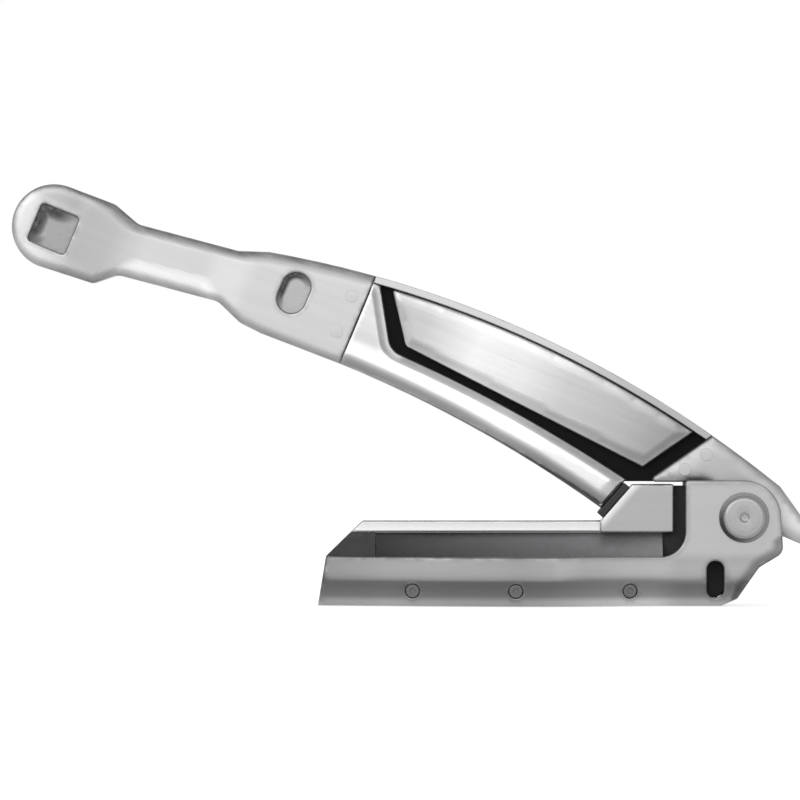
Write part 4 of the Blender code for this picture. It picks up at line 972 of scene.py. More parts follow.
class Recipe(Tree):
    """A metal or rubber, built up from noise in the object's own directions"""

    def __init__(self, name, slope):
        super().__init__(bpy.data.materials.new(name))
        self.shader = self.nodes["Principled BSDF"]
        self.place = self.node("TexCoord").outputs["Object"]
        self.slope = slope

    def turned(self, scale=(1.0, 1.0, 1.0)):
        """Object coordinates turned so that x runs along the shank, then stretched."""
        along = self.node("Mapping", {"Vector": self.place, "Rotation": (0.0, -self.slope, 0.0)})
        return self.node("Mapping", {"Vector": along.outputs[0], "Scale": scale}).outputs[0]

    def noise(self, along, across, detail=3.0, roughness=0.55):
        """Noise from 0 to 1, with this many grains to the metre along x and across it."""
        place = self.turned((along, across, across))
        inputs = {"Vector": place, "Scale": 1.0, "Detail": detail, "Roughness": roughness}
        return self.node("TexNoise", inputs).outputs["Fac"]

    def sum(self, *terms):
        """The sum of (socket or number, weight, middle): each is weight times (value - middle)."""
        total = None
        for value, weight, middle in terms:
            part = self.node("Math", {0: value, 1: weight, 2: -weight * middle}, operation="MULTIPLY_ADD")
            total = part.outputs[0] if total is None else self.math("ADD", total, part.outputs[0])
        return total

    def mix(self, share, first, second, blend="MIX"):
        inputs = {0: share, 6: first, 7: second}
        return self.node("Mix", inputs, data_type="RGBA", blend_type=blend).outputs[2]

    def times(self, base, factor):
        """The base times a socket, or times a number in each channel."""
        if not isinstance(factor, bpy.types.NodeSocket):
            factor = (factor, factor, factor, 1.0)
        return self.mix(1.0, base, factor, "MULTIPLY")

    def lightened(self, base, share, colour, gain, lift):
        """The base turned by a share towards gain times the colour plus a lift."""
        return self.mix(share, base, (*(min(1.0, channel * gain + lift) for channel in colour), 1.0))

    def ramp(self, value, stops):
        made = self.node("ValToRGB", {"Fac": value})
        elements = made.color_ramp.elements
        while len(elements) < len(stops):
            elements.new(0.5)
        for element, (place, grey) in zip(elements, stops):
            element.position = place
            element.color = (grey, grey, grey, 1.0)
        return made.outputs["Color"]

    def mark(self, name="wear"):
        return self.node("Attribute", attribute_name=name).outputs["Fac"]

    def toned(self, base, bands):
        """Painted light and shade: the base made lighter or darker along a direction (0, 1 or 2) or along one
        of the piece's marks. Each band is (direction or mark, start, end, stops of a ramp between them)."""
        for source, start, end, stops in bands:
            if isinstance(source, str):
                value = self.mark(source)
            else:
                value = self.node("SeparateXYZ", {0: self.turned()}).outputs[source]
            share = self.node("MapRange", {"Value": value, "From Min": start, "From Max": end})
            base = self.times(base, self.ramp(share.outputs[0], stops))
        return base

    def finish(self, colour, roughness, height, bump, metallic, shine=0.5):
        """The material, with these on its shader. bump is (strength, distance in metres)."""
        bumped = self.node("Bump", {"Height": height, "Strength": bump[0], "Distance": bump[1]})
        self.links.new(colour, self.shader.inputs["Base Color"])
        self.links.new(roughness, self.shader.inputs["Roughness"])
        self.links.new(bumped.outputs[0], self.shader.inputs["Normal"])
        self.shader.inputs["Metallic"].default_value = metallic
        self.shader.inputs["Specular IOR Level"].default_value = shine
        return self.owner


def once(make):
    """A finish that is made the first time its name is asked for, and found again after that."""

    def found(name, *inputs, slope=0.0, **settings):
        name = f"{name}_finish"
        return bpy.data.materials.get(name) or make(Recipe(name, slope), *inputs, **settings)

    return found


@once
def steel(recipe, colour, grain=(40.0, 1400.0), roughness=0.3, streak=0.06, edge=0.72, bands=()):
    """Steel with fine lines ground along x, slow clouds of tone, small pits and light scuffs. Its edges are
    painted darker or lighter than the faces by the edge factor, as painted edge shade or highlight, and the
    painted bands add painted light and shade. The grain is how many lines there are to the metre, along and
    across."""
    along, across = grain
    lines = recipe.noise(along, across, 4.0, 0.6)
    broad_lines = recipe.noise(along / 8, across / 7)
    clouds = recipe.noise(18.0, 34.0, 4.0)
    pits = recipe.noise(1800.0, 1800.0, 2.0)
    worn = recipe.mark()
    tone = recipe.sum((1.0, 1.0, 0.0), (lines, streak, 0.5), (broad_lines, 2 * streak, 0.5),
                      (clouds, 0.06, 0.5), (pits, 0.04, 0.5))
    base = recipe.times((*colour, 1.0), tone)
    # Painted edge shade or highlight: the edges times the edge factor.
    base = recipe.mix(worn, base, recipe.times(base, edge))
    base = recipe.toned(base, bands)
    patches = recipe.ramp(recipe.noise(90.0, 220.0), [(0.35, 0.0), (0.65, 1.0)])
    scuffs = recipe.math("MULTIPLY", worn, patches)
    base = recipe.lightened(base, recipe.math("MULTIPLY", scuffs, 0.25), colour, 1.5, 0.04)
    rough = recipe.sum((1.0, roughness, 0.0), (lines, 0.12, 0.5), (clouds, 0.08, 0.5), (scuffs, -0.1, 0.0))
    height = recipe.sum((lines, 0.6, 0.0), (pits, 0.2, 0.0), (broad_lines, 0.4, 0.0))
    return recipe.finish(base, rough, height, (0.35, 0.00008), 0.85)


@once
def forged(recipe, colour, roughness, metallic, grain=260.0, mottle=0.25, wear=0.05, edge=1.0, bands=(),
           shine=0.5):
    """Forged, scaled or painted steel: rounded bumps, mottled tone, edges rubbed bright, and painted edge
    shade or highlight by the edge factor, with painted bands of light and shade.
    """
    lumps = recipe.noise(grain, grain, 4.0, 0.6)
    clouds = recipe.noise(30.0, 45.0, 4.0)
    fine = recipe.noise(4 * grain, 4 * grain, 2.0)
    worn = recipe.mark()
    tone = recipe.sum((1.0, 1.0, 0.0), (lumps, mottle, 0.5), (clouds, mottle, 0.5), (fine, mottle / 2, 0.5))
    base = recipe.times((*colour, 1.0), tone)
    # Painted edge shade or highlight: the edges times the edge factor.
    base = recipe.mix(worn, base, recipe.times(base, edge))
    base = recipe.toned(base, bands)
    rubbed = recipe.math("MULTIPLY", worn, recipe.ramp(lumps, [(0.4, 0.0), (0.62, 1.0)]))
    base = recipe.lightened(base, recipe.math("MULTIPLY", rubbed, wear), colour, 1.6, 0.06)
    rough = recipe.sum((1.0, roughness, 0.0), (lumps, 0.2, 0.5), (clouds, 0.15, 0.5), (rubbed, -0.12, 0.0))
    height = recipe.sum((lumps, 1.0, 0.0), (fine, 0.3, 0.0))
    return recipe.finish(base, rough, height, (0.4, 0.0003), metallic, shine)


@once
def turned_steel(recipe, colour, x, z, roughness=0.28, bands=()):
    """Steel turned on a lathe: fine rings about an axis along y through (x, z)."""
    shift = recipe.node("Mapping", {"Vector": recipe.place, "Location": (-x * MM, 0.0, -z * MM)}).outputs[0]
    level = recipe.node("Mapping", {"Vector": shift, "Scale": (1.0, 0.0, 1.0)}).outputs[0]
    radius = recipe.node("VectorMath", {0: level}, operation="LENGTH").outputs["Value"]
    across = recipe.node("CombineXYZ", {0: recipe.math("MULTIPLY", radius, 1 / RING_PITCH)}).outputs[0]
    rings = recipe.node("TexNoise", {"Vector": across, "Scale": 1.0, "Detail": 4.0}).outputs["Fac"]
    clouds = recipe.noise(120.0, 120.0)
    pits = recipe.noise(900.0, 900.0, 2.0)
    worn = recipe.mark()
    tone = recipe.sum((1.0, 1.0, 0.0), (rings, 0.16, 0.5), (clouds, 0.14, 0.5), (pits, 0.06, 0.5))
    base = recipe.times((*colour, 1.0), tone)
    base = recipe.lightened(base, recipe.math("MULTIPLY", worn, 0.25), colour, 1.4, 0.04)
    # Painted bands, where given, add painted shade (on the washers).
    base = recipe.toned(base, bands)
    rough = recipe.sum((1.0, roughness, 0.0), (rings, 0.12, 0.5), (clouds, 0.12, 0.5))
    height = recipe.sum((rings, 1.0, 0.0), (pits, 0.2, 0.0))
    return recipe.finish(base, rough, height, (0.3, 0.0001), 0.85)


@once
def moulded_rubber(recipe, colour):
    """Black rubber: a fine leathery skin with dusty patches."""
    skin = recipe.noise(900.0, 900.0, 4.0, 0.6)
    dust = recipe.noise(60.0, 60.0, 4.0)
    worn = recipe.mark()
    base = recipe.times((*colour, 1.0), recipe.sum((1.0, 1.0, 0.0), (skin, 0.5, 0.5), (dust, 0.8, 0.5)))
    base = recipe.lightened(base, recipe.math("MULTIPLY", worn, 0.4), colour, 2.0, 0.02)
    rough = recipe.sum((1.0, 0.72, 0.0), (dust, 0.2, 0.5), (skin, 0.1, 0.5))
    return recipe.finish(base, rough, recipe.sum((skin, 1.0, 0.0)), (0.5, 0.0002), 0.0)


# Settings


def number(name, description, default, **limits):
    """A setting that holds one number, within limits if any are given."""
    return FloatProperty(name=name, description=description, default=default, **limits)


def length(name, description, default, high=0.02):
    return number(name, description, default, min=0.0, max=high, unit="LENGTH", precision=4)


def colour(name, description, default):
    return FloatVectorProperty(
        name=name, description=description, default=default, min=0.0, max=1.0, subtype="COLOR"
    )


class AnchorSizes(bpy.types.PropertyGroup):
    """Sizes of what the finishing adds to the plain forms"""

    edge_round: length("Edge rounding", "Radius of the forgings' edges", 0.0012, 0.002)
    plate_round: length("Plate edge", "Radius of the side plates' edges", 0.0011, 0.002)
    rail_crown: length("Rail crown", "Fall of a rail's face from its middle to its edges", 0.0038, 0.006)
    rail_shoulder: length(
        "Rail shoulder", "Distance from its edge over which a rail's face is rounded", 0.0075
    )
    face_crown: length(
        "Face crown", "Fall of the head's and the cheeks' faces at their edges", 0.0013, 0.002
    )
    face_shoulder: length("Face shoulder", "Distance from the edge over which those faces fall", 0.005)
    mesh_step: length("Mesh step", "Distance between the points of a crowned face", 0.0022, 0.01)


class AnchorColours(bpy.types.PropertyGroup):
    """Colours of the anchor's metals and rubber"""

    polished: colour("Polished steel", "Cheeks and rails", (0.36, 0.36, 0.363))
    satin: colour("Satin steel", "Head, eye, crown and heel", (0.33, 0.33, 0.333))
    side_plate: colour("Side plates", "The share's side plates and its sole", (0.24, 0.24, 0.243))
    spine: colour("Spine", "The share's top strip and horn", (0.34, 0.34, 0.343))
    mouldboard: colour("Mouldboards", "The dark sheets between spine and side plates", (0.07, 0.07, 0.072))
    # Near-black so that the keel and web stand in for the shade in the grooves and slots: painted shade.
    blackened: colour("Blackened steel", "Keel and web, seen in the grooves", (0.012, 0.012, 0.012))
    bronze: colour("Bronze", "Bush and thrust washers", (0.42, 0.27, 0.12))
    rubber: colour("Rubber", "The stop's buffer", (0.018, 0.018, 0.018))
    fastener: colour("Fasteners", "Pin, nut, washers, bolts and rivets", (0.3, 0.3, 0.303))


class AnchorStudio(bpy.types.PropertyGroup):
    """Lamps, floor and sky"""

    key_power: number("Key lamp", "Power of the lamp at the upper left", 10.0, unit="POWER")
    front_power: number("Front lamp", "Power of the broad lamp in front", 27.0, unit="POWER")
    back_power: number("Back lamp", "Power of the broad lamp behind", 14.0, unit="POWER")
    sky_level: number("Sky", "Brightness of the sky for matt surfaces", 0.5, min=0.0)
    floor_glow: number("Floor glow", "Whiteness added to the floor where it is seen", 0.62, min=0.0)
    floor: colour("Floor", "Colour of the floor", (0.8, 0.8, 0.8))


# What the pieces below share


def shaded(colour, share):
    """The colour times a number."""
    return [share * channel for channel in colour]


def grid_of(loops, margin, step):
    """A staggered grid of places inside the loops."""
    (low_x, low_z), (high_x, high_z) = loops[0][:, :2].min(axis=0), loops[0][:, :2].max(axis=0)
    rows = [
        (np.arange(low_x, high_x, step), np.arange(low_z, high_z, step * 1.7)),
        (np.arange(low_x + step / 2, high_x, step), np.arange(low_z + step * 0.85, high_z, step * 1.7)),
    ]
    return np.concatenate([places_within(loops, margin, xs, zs) for xs, zs in rows])


def clear_grid(loops, rim, step):
    """A staggered grid that keeps half a step off the rims."""
    return grid_of(loops, rim + FACE_RING + step / 2, step)


def bar_of(outline, half, rim):
    """A plate of one thickness, from y = -half to y = half."""
    return slab([refined(outline)], flat(-half), flat(half), rim)


def plate_pair(loops, inner, outer, rim, grid, fade=2.0):
    """Two plates, each with its side: the right one between y = inner(x, z) and y = outer(x, z), and the left
    one its mirror image."""
    yield "left", slab(loops, mirrored(outer), mirrored(inner), rim, grid, fade)
    yield "right", slab(loops, inner, outer, rim, grid, fade)


def ring(bore, radius, low, high, roundings, x=0.0, z=0.0, steps=ROUND_STEPS):
    """A ring about an axis along y, from low to high. The roundings are those of its four corners in turn:
    the bore's at low, the rim's at low and high, and the bore's at high."""
    corners = zip((bore, radius, radius, bore), (low, low, high, high), roundings)
    return revolved(list(corners), x, z, steps, closed=True)


def round_mm(node):
    """A round node's radius, and its low and high end along y, in millimetres."""
    low, high = box_mm(node)
    return (high[0] - low[0]) / 2, low[1], high[1]


class PieceMaker:
    """An operator that makes one group of pieces from the sizes and colours"""

    bl_options = {"REGISTER"}

    def execute(self, context):
        self.make(context.scene.anchor_sizes, context.scene.anchor_colours)
        return {"FINISHED"}


# Pieces


class ANCHOR_OT_head(PieceMaker, bpy.types.Operator):
    """Make the forged head: eye pad, neck and body, with the block in its eye and the plug in its oval"""

    bl_idname = "anchor.head"
    bl_label = "Head"

    def make(self, size, paint):
        holes = [refined(eye_square(EYE_SQUARE, EYE_CORNER)), refined(oval(0.0))]
        loops = [refined(head_outline()), *holes]
        run_on = refined(head_outline(JOINT + RUN_ON))
        rim = size.edge_round / MM
        face = pillowed(run_on, head_half_width, size.face_crown, size.face_shoulder)
        grid = clear_grid(loops, rim, size.mesh_step / MM)
        surface = slab(loops, mirrored(face), face, rim, grid)
        # Painted light and shade on the head: lighter at the eye end with a darker stretch behind it, painted
        # shade along the upper edge, a painted highlight along the lower edge, darker above the eye and
        # lighter under the pad, a painted highlight round the holes, and edges painted darker by the default
        # edge factor.
        bands = [
            (0, -0.49, -0.27, [(0.0, 1.3), (0.12, 1.0), (0.22, 0.72), (0.3, 0.76), (0.4, 1.0), (1.0, 1.0)]),
            ("from_top", 0.0, 12.0, [(0.0, 0.8), (0.12, 0.5), (0.26, 0.42), (0.45, 0.72), (0.65, 1.06),
                                     (1.0, 1.0)]),
            ("from_bottom", 0.0, 16.0, [(0.0, 1.1), (0.2, 1.2), (0.4, 1.3), (0.56, 1.35), (0.75, 1.2),
                                        (1.0, 1.0)]),
            ("pad_tone", -1.0, 1.0, [(0.0, 1.2), (0.5, 1.0), (1.0, 0.76)]),
            ("from_hole", 0.0, 2.0, [(0.0, 1.3), (0.5, 1.12), (1.0, 1.0)]),
        ]
        metal = steel("satin_steel_head", paint.satin, slope=SLOPE, roughness=0.33, bands=bands)
        # The marks below are masks for that painted light and shade.
        x, y, z = surface[0].T
        rise = z - (neck_edge(x, 1) + neck_edge(x, -1)) / 2
        aft_of_eye = x + EYE_REACH
        pad = smooth_step((PAD_LENGTH + 5.0 - aft_of_eye) / 30.0)
        joint = smooth_step((x - JOINT + BRIGHT_TO_JOINT) / 45.0)
        inwards = np.maximum(head_half_width(x) - np.abs(y) - 2 * rim, 0.0) * EDGE_SPREAD
        away = distance_to(run_on, x, z) + inwards
        over_eye = smooth_step((z - EYE_SQUARE / 2) / 6.0) * smooth_step(1.4 - aft_of_eye / 12.0)
        beyond = smooth_step(1.45 - aft_of_eye / 40.0) + joint + smooth_step(1 + rise / 4.0)
        marks = {
            "from_top": away + 5.0 * pad + FAR * smooth_step(1 - rise / 12.0),
            "from_bottom": away + FAR * beyond,
            "pad_tone": over_eye - pad * smooth_step((-z - 10.0) / 8.0),
            "from_hole": np.minimum(*(distance_to(hole, x, z) for hole in holes)),
        }
        add_piece("head_forging", surface, "shank", metal, "satin_steel", ["shank_head"], marks)
        eye = eye_square(EYE_SQUARE - 2 * INLAY_GAP, EYE_CORNER - INLAY_GAP)
        hollow = oval(INLAY_GAP)
        # The recess floors are darker copies of the satin colour: painted shade.
        self.inlay("eye_inlay", "eye_block", eye, PAD_HALF_WIDTH, 7.5, shaded(paint.satin, 0.7))
        self.inlay("oval_inlay", "oval_plug", hollow, BODY_HALF_WIDTH, 4.0, shaded(paint.satin, 0.88))

    def inlay(self, name, node, outline, half, run, dulled):
        """A floor set back in its hole, with a slope over a run beside the front and upper edges. Its colour
        is painted shade, and the finish paints shadow on that slope.
        """
        recessed = forged(f"recess_steel_{name}", dulled, 0.42, 0.8, 420.0, 0.12, 0.1, edge=0.12)
        loop = refined(outline, 1.0)
        draft = drafted(loop, run)

        def face(x, z):
            return half - EYE_SETBACK + INLAY_DRAFT * draft(x, z)

        points, _, quads, triangles = slab([loop], mirrored(face), face, 0.1, grid_of([loop], 0.9, 0.9))
        # The draft share stands in the wear slot, so edge factor 0.12 paints shadow beside the front and
        # upper edges.
        inlay = (points, draft(points[:, 0], points[:, 2]), quads, triangles)
        add_piece(name, inlay, "shank", recessed, "satin_steel", [node])


class ANCHOR_OT_cheeks(PieceMaker, bpy.types.Operator):
    """Make the two polished cheeks of the shank"""

    bl_idname = "anchor.cheeks"
    bl_label = "Cheeks"

    def make(self, size, paint):
        loop = refined(cheek_outline())
        rim = size.edge_round / MM
        face = pillowed(loop, CHEEK_HALF_WIDTH, size.face_crown, size.face_shoulder)
        # Painted light along the cheeks: a painted highlight over the middle of their length, darker towards
        # both ends, and edges painted lighter (edge factor 1.3).
        stops = [(0.0, 0.72), (0.14, 0.8), (0.32, 1.22), (0.48, 1.12), (0.62, 0.86), (0.83, 0.7),
                 (1.0, 0.48)]
        metal = steel("polished_steel_cheeks", paint.polished, slope=SLOPE, roughness=0.24, streak=0.1,
                      edge=1.3, bands=[(0, -0.25, -0.05, stops)])
        grid = clear_grid([loop], rim, 1.5 * size.mesh_step / MM)
        for side, surface in plate_pair([loop], flat(WEB_HALF + GAP), face, rim, grid):
            add_piece(f"cheek_plate_{side}", surface, "shank", metal, "polished_steel", [f"{side}_cheek"])


class ANCHOR_OT_rails(PieceMaker, bpy.types.Operator):
    """Make the two rounded rails along the shank's belly"""

    bl_idname = "anchor.rails"
    bl_label = "Rails"

    def make(self, size, paint):
        loop = refined(rail_outline(), 2.0)
        run_on = refined(rail_outline(RUN_ON), 2.0)
        face = pillowed(run_on, RAIL_HALF_WIDTH, size.rail_crown, size.rail_shoulder)
        # Painted light and shade on the rails: a lighter copy of the polished colour, painted shade at the
        # belly edge, a painted highlight stripe across the middle, lighter part way along, a painted
        # highlight beside the groove, and edges painted lighter (edge factor 1.2).
        bands = [
            ("across", 0.0, 3.0, [(0.0, 0.4), (0.08, 0.62), (0.14, 1.2), (0.19, 1.25), (0.27, 0.95),
                                  (0.31, 0.75), (0.36, 0.74), (0.55, 0.8), (1.0, 0.74)]),
            (0, -0.25, -0.09, [(0.0, 1.0), (0.4, 1.05), (0.6, 1.25), (0.8, 0.92), (1.0, 0.9)]),
            ("from_groove", 0.0, 5.0, [(0.0, 1.9), (0.45, 1.7), (0.75, 1.2), (1.0, 1.0)]),
        ]
        metal = steel("polished_steel_rails", shaded(paint.polished, 1.25), slope=SLOPE, roughness=0.22,
                      edge=1.2, bands=bands)
        by_groove = (loop[:, 1] > belly_edge(loop[:, 0]) + 3.0) & (loop[:, 0] > JOINT + 2.0)
        leg = loop[by_groove & (loop[:, 0] < JOINT + 32.0)]
        grid = clear_grid([loop], RAIL_RIM, size.mesh_step / MM)
        for side, surface in plate_pair([loop], flat(WEB_HALF + GAP), face, RAIL_RIM, grid, 1.0):
            x, _, z = surface[0].T
            across = (z - belly_edge(x)) / (rail_edge(x) - belly_edge(x))
            from_groove = np.hypot(x[:, None] - leg[:, 0], z[:, None] - leg[:, 1]).min(axis=1)
            add_piece(f"rail_bar_{side}", surface, "shank", metal, "polished_steel", [f"{side}_rail"],
                      {"across": across, "from_groove": from_groove})


class ANCHOR_OT_back(PieceMaker, bpy.types.Operator):
    """Make the crown strip along the back, and the dark web between the cheeks"""

    bl_idname = "anchor.back"
    bl_label = "Crown and web"

    def make(self, size, paint):
        # Painted light along the crown: lighter at its front, darker aft, and edges painted darker (edge
        # factor 0.85).
        stops = [(0.0, 1.12), (0.43, 1.1), (0.62, 1.1), (0.9, 0.85), (1.0, 0.85)]
        metal = steel("satin_steel_crown", paint.satin, slope=SLOPE, roughness=0.36, edge=0.85,
                      bands=[(0, -0.27, -0.06, stops)])
        crown = bar_of(crown_outline(), CHEEK_HALF_WIDTH, 0.5)
        add_piece("crown_bar", crown, "shank", metal, "satin_steel", ["crown_strip"])
        # The web's near-black colour stands in for the shade in the grooves between the cheeks and rails:
        # painted shade.
        dark = forged("blackened_steel", paint.blackened, 0.8, 0.0, shine=0.04)
        web = bar_of(web_outline(), WEB_HALF, 0.5)
        add_piece("web_sheet", web, "shank", dark, "blackened_steel", ["web_plate"])


class ANCHOR_OT_heel(PieceMaker, bpy.types.Operator):
    """Make the heel forging with its hub and tail"""

    bl_idname = "anchor.heel"
    bl_label = "Heel"

    def make(self, size, paint):
        low, high = box_mm("hinge_bush")
        bore, half = (high[2] - low[2]) / 2 + GAP, high[1]
        loops = [refined(heel_outline()), refined(circle(0.0, 0.0, bore))]
        rim = size.edge_round / MM
        face = pillowed(loops[0], HEEL_HALF_WIDTH, size.face_crown, size.face_shoulder)
        body = slab(loops, mirrored(face), face, rim, clear_grid(loops, rim, 2 * size.mesh_step / MM))
        hub = ring(bore, HUB_RADIUS, -half, half, (0.0, 1.0, 1.0, 0.0))
        # Painted light and shade: a darker copy of the satin colour, lighter towards the tail.
        stops = [(0.0, 1.18), (0.3, 1.1), (0.5, 1.0), (0.75, 1.05), (1.0, 1.65)]
        metal = steel("satin_steel_heel", shaded(paint.satin, 0.86), slope=SLOPE, roughness=0.36,
                      bands=[(0, -0.06, 0.04, stops)])
        add_piece("heel_block", joined(body, hub), "shank", metal, "satin_steel", ["heel_forging"])
        refinish(turned_steel("bronze_turned", paint.bronze, HINGE[0], HINGE[2], 0.34), "hinge_bush")


class ANCHOR_OT_rivets(PieceMaker, bpy.types.Operator):
    """Make the rivets, ground flush with the head and the heel, and finish the hidden dowels"""

    bl_idname = "anchor.rivets"
    bl_label = "Rivets"

    def make(self, size, paint):
        for where, half in (("head", BODY_HALF_WIDTH), ("heel", HEEL_HALF_WIDTH)):
            end = half + RIVET_PROUD
            for place in ("lower", "upper"):
                node = f"{where}_rivet_{place}"
                x, _, z = middle_mm(node)
                radius = round_mm(node)[0]
                corners = [(0.0, -end), (radius, -end, 0.3), (radius, end, 0.3), (0.0, end)]
                stud = revolved(corners, *to_shank(x - HINGE[0], z - HINGE[2]), 48)
                metal = turned_steel(f"{node}_steel", paint.satin, x, z, 0.36)
                add_piece(f"{where}_stud_{place}", stud, "shank", metal, "fastener_steel", [node])
        plain = steel("dowel_steel", paint.fastener, slope=SLOPE)
        for place in ("front", "middle", "aft"):
            refinish(plain, f"cheek_dowel_{place}", f"rail_dowel_{place}")


class ANCHOR_OT_side_plates(PieceMaker, bpy.types.Operator):
    """Make the share's two side plates, with their ears, slots and seats for the cross bolts"""

    bl_idname = "anchor.side_plates"
    bl_label = "Side plates"

    def make(self, size, paint):
        bore = circle(0.0, AXIS_HEIGHT, PIN_RADIUS + PIN_FIT)
        slot = obround(-SLOT_STATION, SLOT_BOTTOM, SLOT_TOP, SLOT_WIDTH)
        seats = [circle(-x, BOLT_HEIGHT, BOLT_HEAD_RADIUS + PIN_FIT, 48) for x in BOLT_STATIONS.values()]
        loops = [refined(outline) for outline in (side_plate_outline(), bore, slot, *seats)]
        rim = size.plate_round / MM
        # Rows of places, close together where the plate bends at its chine
        rows = [np.linspace(1.5, 13.2, 7), CHINE_HEIGHT + np.linspace(-1.6, 1.6, 6),
                np.linspace(18.0, 28.0, 6), np.arange(30.6, AXIS_HEIGHT + EAR_RADIUS, 2.5)]
        grid = places_within(loops, rim + 1.5, np.arange(-TOE_REACH, EAR_RADIUS, 2.5), np.concatenate(rows))
        # Painted light and shade on the side plates. Up the height: a painted reflection of the floor along
        # the bottom edge, painted shade on the band under the chine, lighter above the rim. Along the length:
        # lighter towards the ears. Also a painted highlight where the plate flares, painted shade round the
        # ears' aft lower edge and low down aft, and edges painted darker by the default edge factor.
        bands = [
            (2, 0.0, 0.08, [(0.0, 2.6), (0.02, 2.2), (0.047, 1.5), (0.08, 0.85), (0.11, 0.74), (0.15, 0.62),
                            (0.19, 0.6), (0.21, 0.7), (0.24, 0.88), (0.29, 0.95), (0.36, 0.92), (0.42, 1.12),
                            (1.0, 1.08)]),
            (0, -0.24, 0.0, [(0.0, 0.74), (0.1, 0.8), (0.2, 0.86), (0.37, 0.76), (0.55, 0.72), (0.68, 0.9),
                             (0.78, 1.05), (0.9, 1.2), (1.0, 1.2)]),
            ("flare", 0.0, 1.0, [(0.0, 1.0), (1.0, 1.6)]),
            ("contour", 0.0, 8.0, [(0.0, 0.5), (0.35, 0.45), (0.55, 0.55), (0.8, 0.85), (1.0, 1.0)]),
            ("low_aft", 0.0, 1.0, [(0.0, 1.0), (1.0, 0.74)]),
        ]
        metal = steel("side_plate_steel", paint.side_plate, grain=ROLLED_GRAIN, roughness=0.36, bands=bands)
        for side, surface in plate_pair(loops, inner_side, side_y, rim, grid):
            x, _, z = surface[0].T
            way = np.clip((-x - WING_START) / (WING_STATION - WING_START), 0, 1)
            heel = smooth_step((x + 20.0) / 15.0) * smooth_step((AXIS_HEIGHT - 2.0 - z) / 12.0)
            marks = {
                "flare": 4 * way * (1 - way) * (0.15 + 0.85 * smooth_step((z - CHINE_HEIGHT) / 4.0)),
                "contour": distance_to(loops[0], x, z) + FAR * (1 - heel),
                "low_aft": smooth_step((x + 60.0) / 25.0) * smooth_step((CHINE_HEIGHT - z) / 3.0),
            }
            add_piece(f"side_wall_{side}", surface, "share", metal, "side_plate_steel",
                      [f"{side}_side_plate"], marks)


class ANCHOR_OT_mouldboards(PieceMaker, bpy.types.Operator):
    """Make the dark hollow sheets that run down from the spine to the side plates"""

    bl_idname = "anchor.mouldboards"
    bl_label = "Mouldboards"

    def make(self, size, paint):
        # Painted shade along the mouldboards: darkest at the toe and lighter aft.
        stops = [(0.0, 0.22), (0.16, 0.32), (0.37, 1.3), (0.7, 3.0), (1.0, 3.9)]
        metal = forged("dark_mouldboard_steel", paint.mouldboard, 0.48, 0.6, wear=0.1,
                       bands=[(0, -0.23, -0.02, stops)])
        inboard, front = KEEL_HALF + GAP, NOSE_BACK + TOE_SEAM
        u, v = np.meshgrid(np.linspace(0, 1, 120), np.linspace(0, 1, 36), indexing="ij")
        x = front + (-MOULD_AFT - front) * u
        z = MOULD_EDGE + (SPINE_BASE - GAP - MOULD_EDGE) * (1 - v) ** MOULD_CURL
        y = inboard + (filling_y(x, np.full_like(x, MOULD_EDGE)) - 2 * GAP - inboard) * v
        for side, way in (("left", -1), ("right", 1)):
            upper = np.stack([x, way * y, z], -1)
            sheet = sheet_between(upper, upper - [0.0, 0.0, MOULD_THICKNESS])
            add_piece(f"hollow_sheet_{side}", sheet, "share", metal, "dark_steel", [f"{side}_mouldboard"])


class ANCHOR_OT_spine(PieceMaker, bpy.types.Operator):
    """Make the spine and its horn, the rubber buffer on the horn, and the dark keel under them"""

    bl_idname = "anchor.spine"
    bl_label = "Spine, horn and keel"

    def make(self, size, paint):
        rim = size.edge_round / MM
        spine = bar_of(spine_outline(), SPINE_HALF_WIDTH, rim)
        block = bar_of(horn_outline(), HORN_HALF_WIDTH, rim)
        # Painted light on the spine and horn: the spine lighter low down, the horn darker, a painted
        # highlight along the horn's sloping face, and edges painted darker by the default edge factor.
        bands = [
            ("height", 45.0, 60.0, [(0.0, 2.0), (0.2, 1.5), (0.5, 1.25), (0.65, 1.1), (1.0, 0.8)]),
            ("behind_face", 0.0, 6.0, [(0.0, 1.8), (0.4, 1.7), (0.75, 1.15), (1.0, 1.0)]),
        ]
        metal = steel("satin_steel_spine", paint.spine, roughness=0.32, bands=bands)
        x, z = block[0][:, 0] - HORN_FOOT, block[0][:, 2] - SPINE_HEIGHT
        behind = x * math.sin(HORN_FACE) - z * math.cos(HORN_FACE)
        marks = {
            "height": np.concatenate([spine[0][:, 2], np.full(len(block[0]), 60.0)]),
            "behind_face": np.concatenate([np.full(len(spine[0]), FAR), behind]),
        }
        both = joined(spine, block)
        add_piece("spine_and_horn", both, "share", metal, "satin_steel", ["horn_spine"], marks)
        # The keel's near-black colour stands in for the shade behind the horn and through the side plates'
        # slots: painted shade.
        dark = forged("blackened_keel_steel", shaded(paint.blackened, 4.5), 0.8, 0.0, shine=0.06)
        keel = bar_of(keel_outline(), KEEL_HALF, 0.8)
        add_piece("keel_sheet", keel, "share", dark, "blackened_steel", ["keel_web"])
        rubber = moulded_rubber("black_rubber", paint.rubber)
        buffer = bar_of(buffer_outline(), BUFFER_HALF_WIDTH, 0.7)
        add_piece("buffer_strip", buffer, "share", rubber, "rubber", ["stop_buffer"])


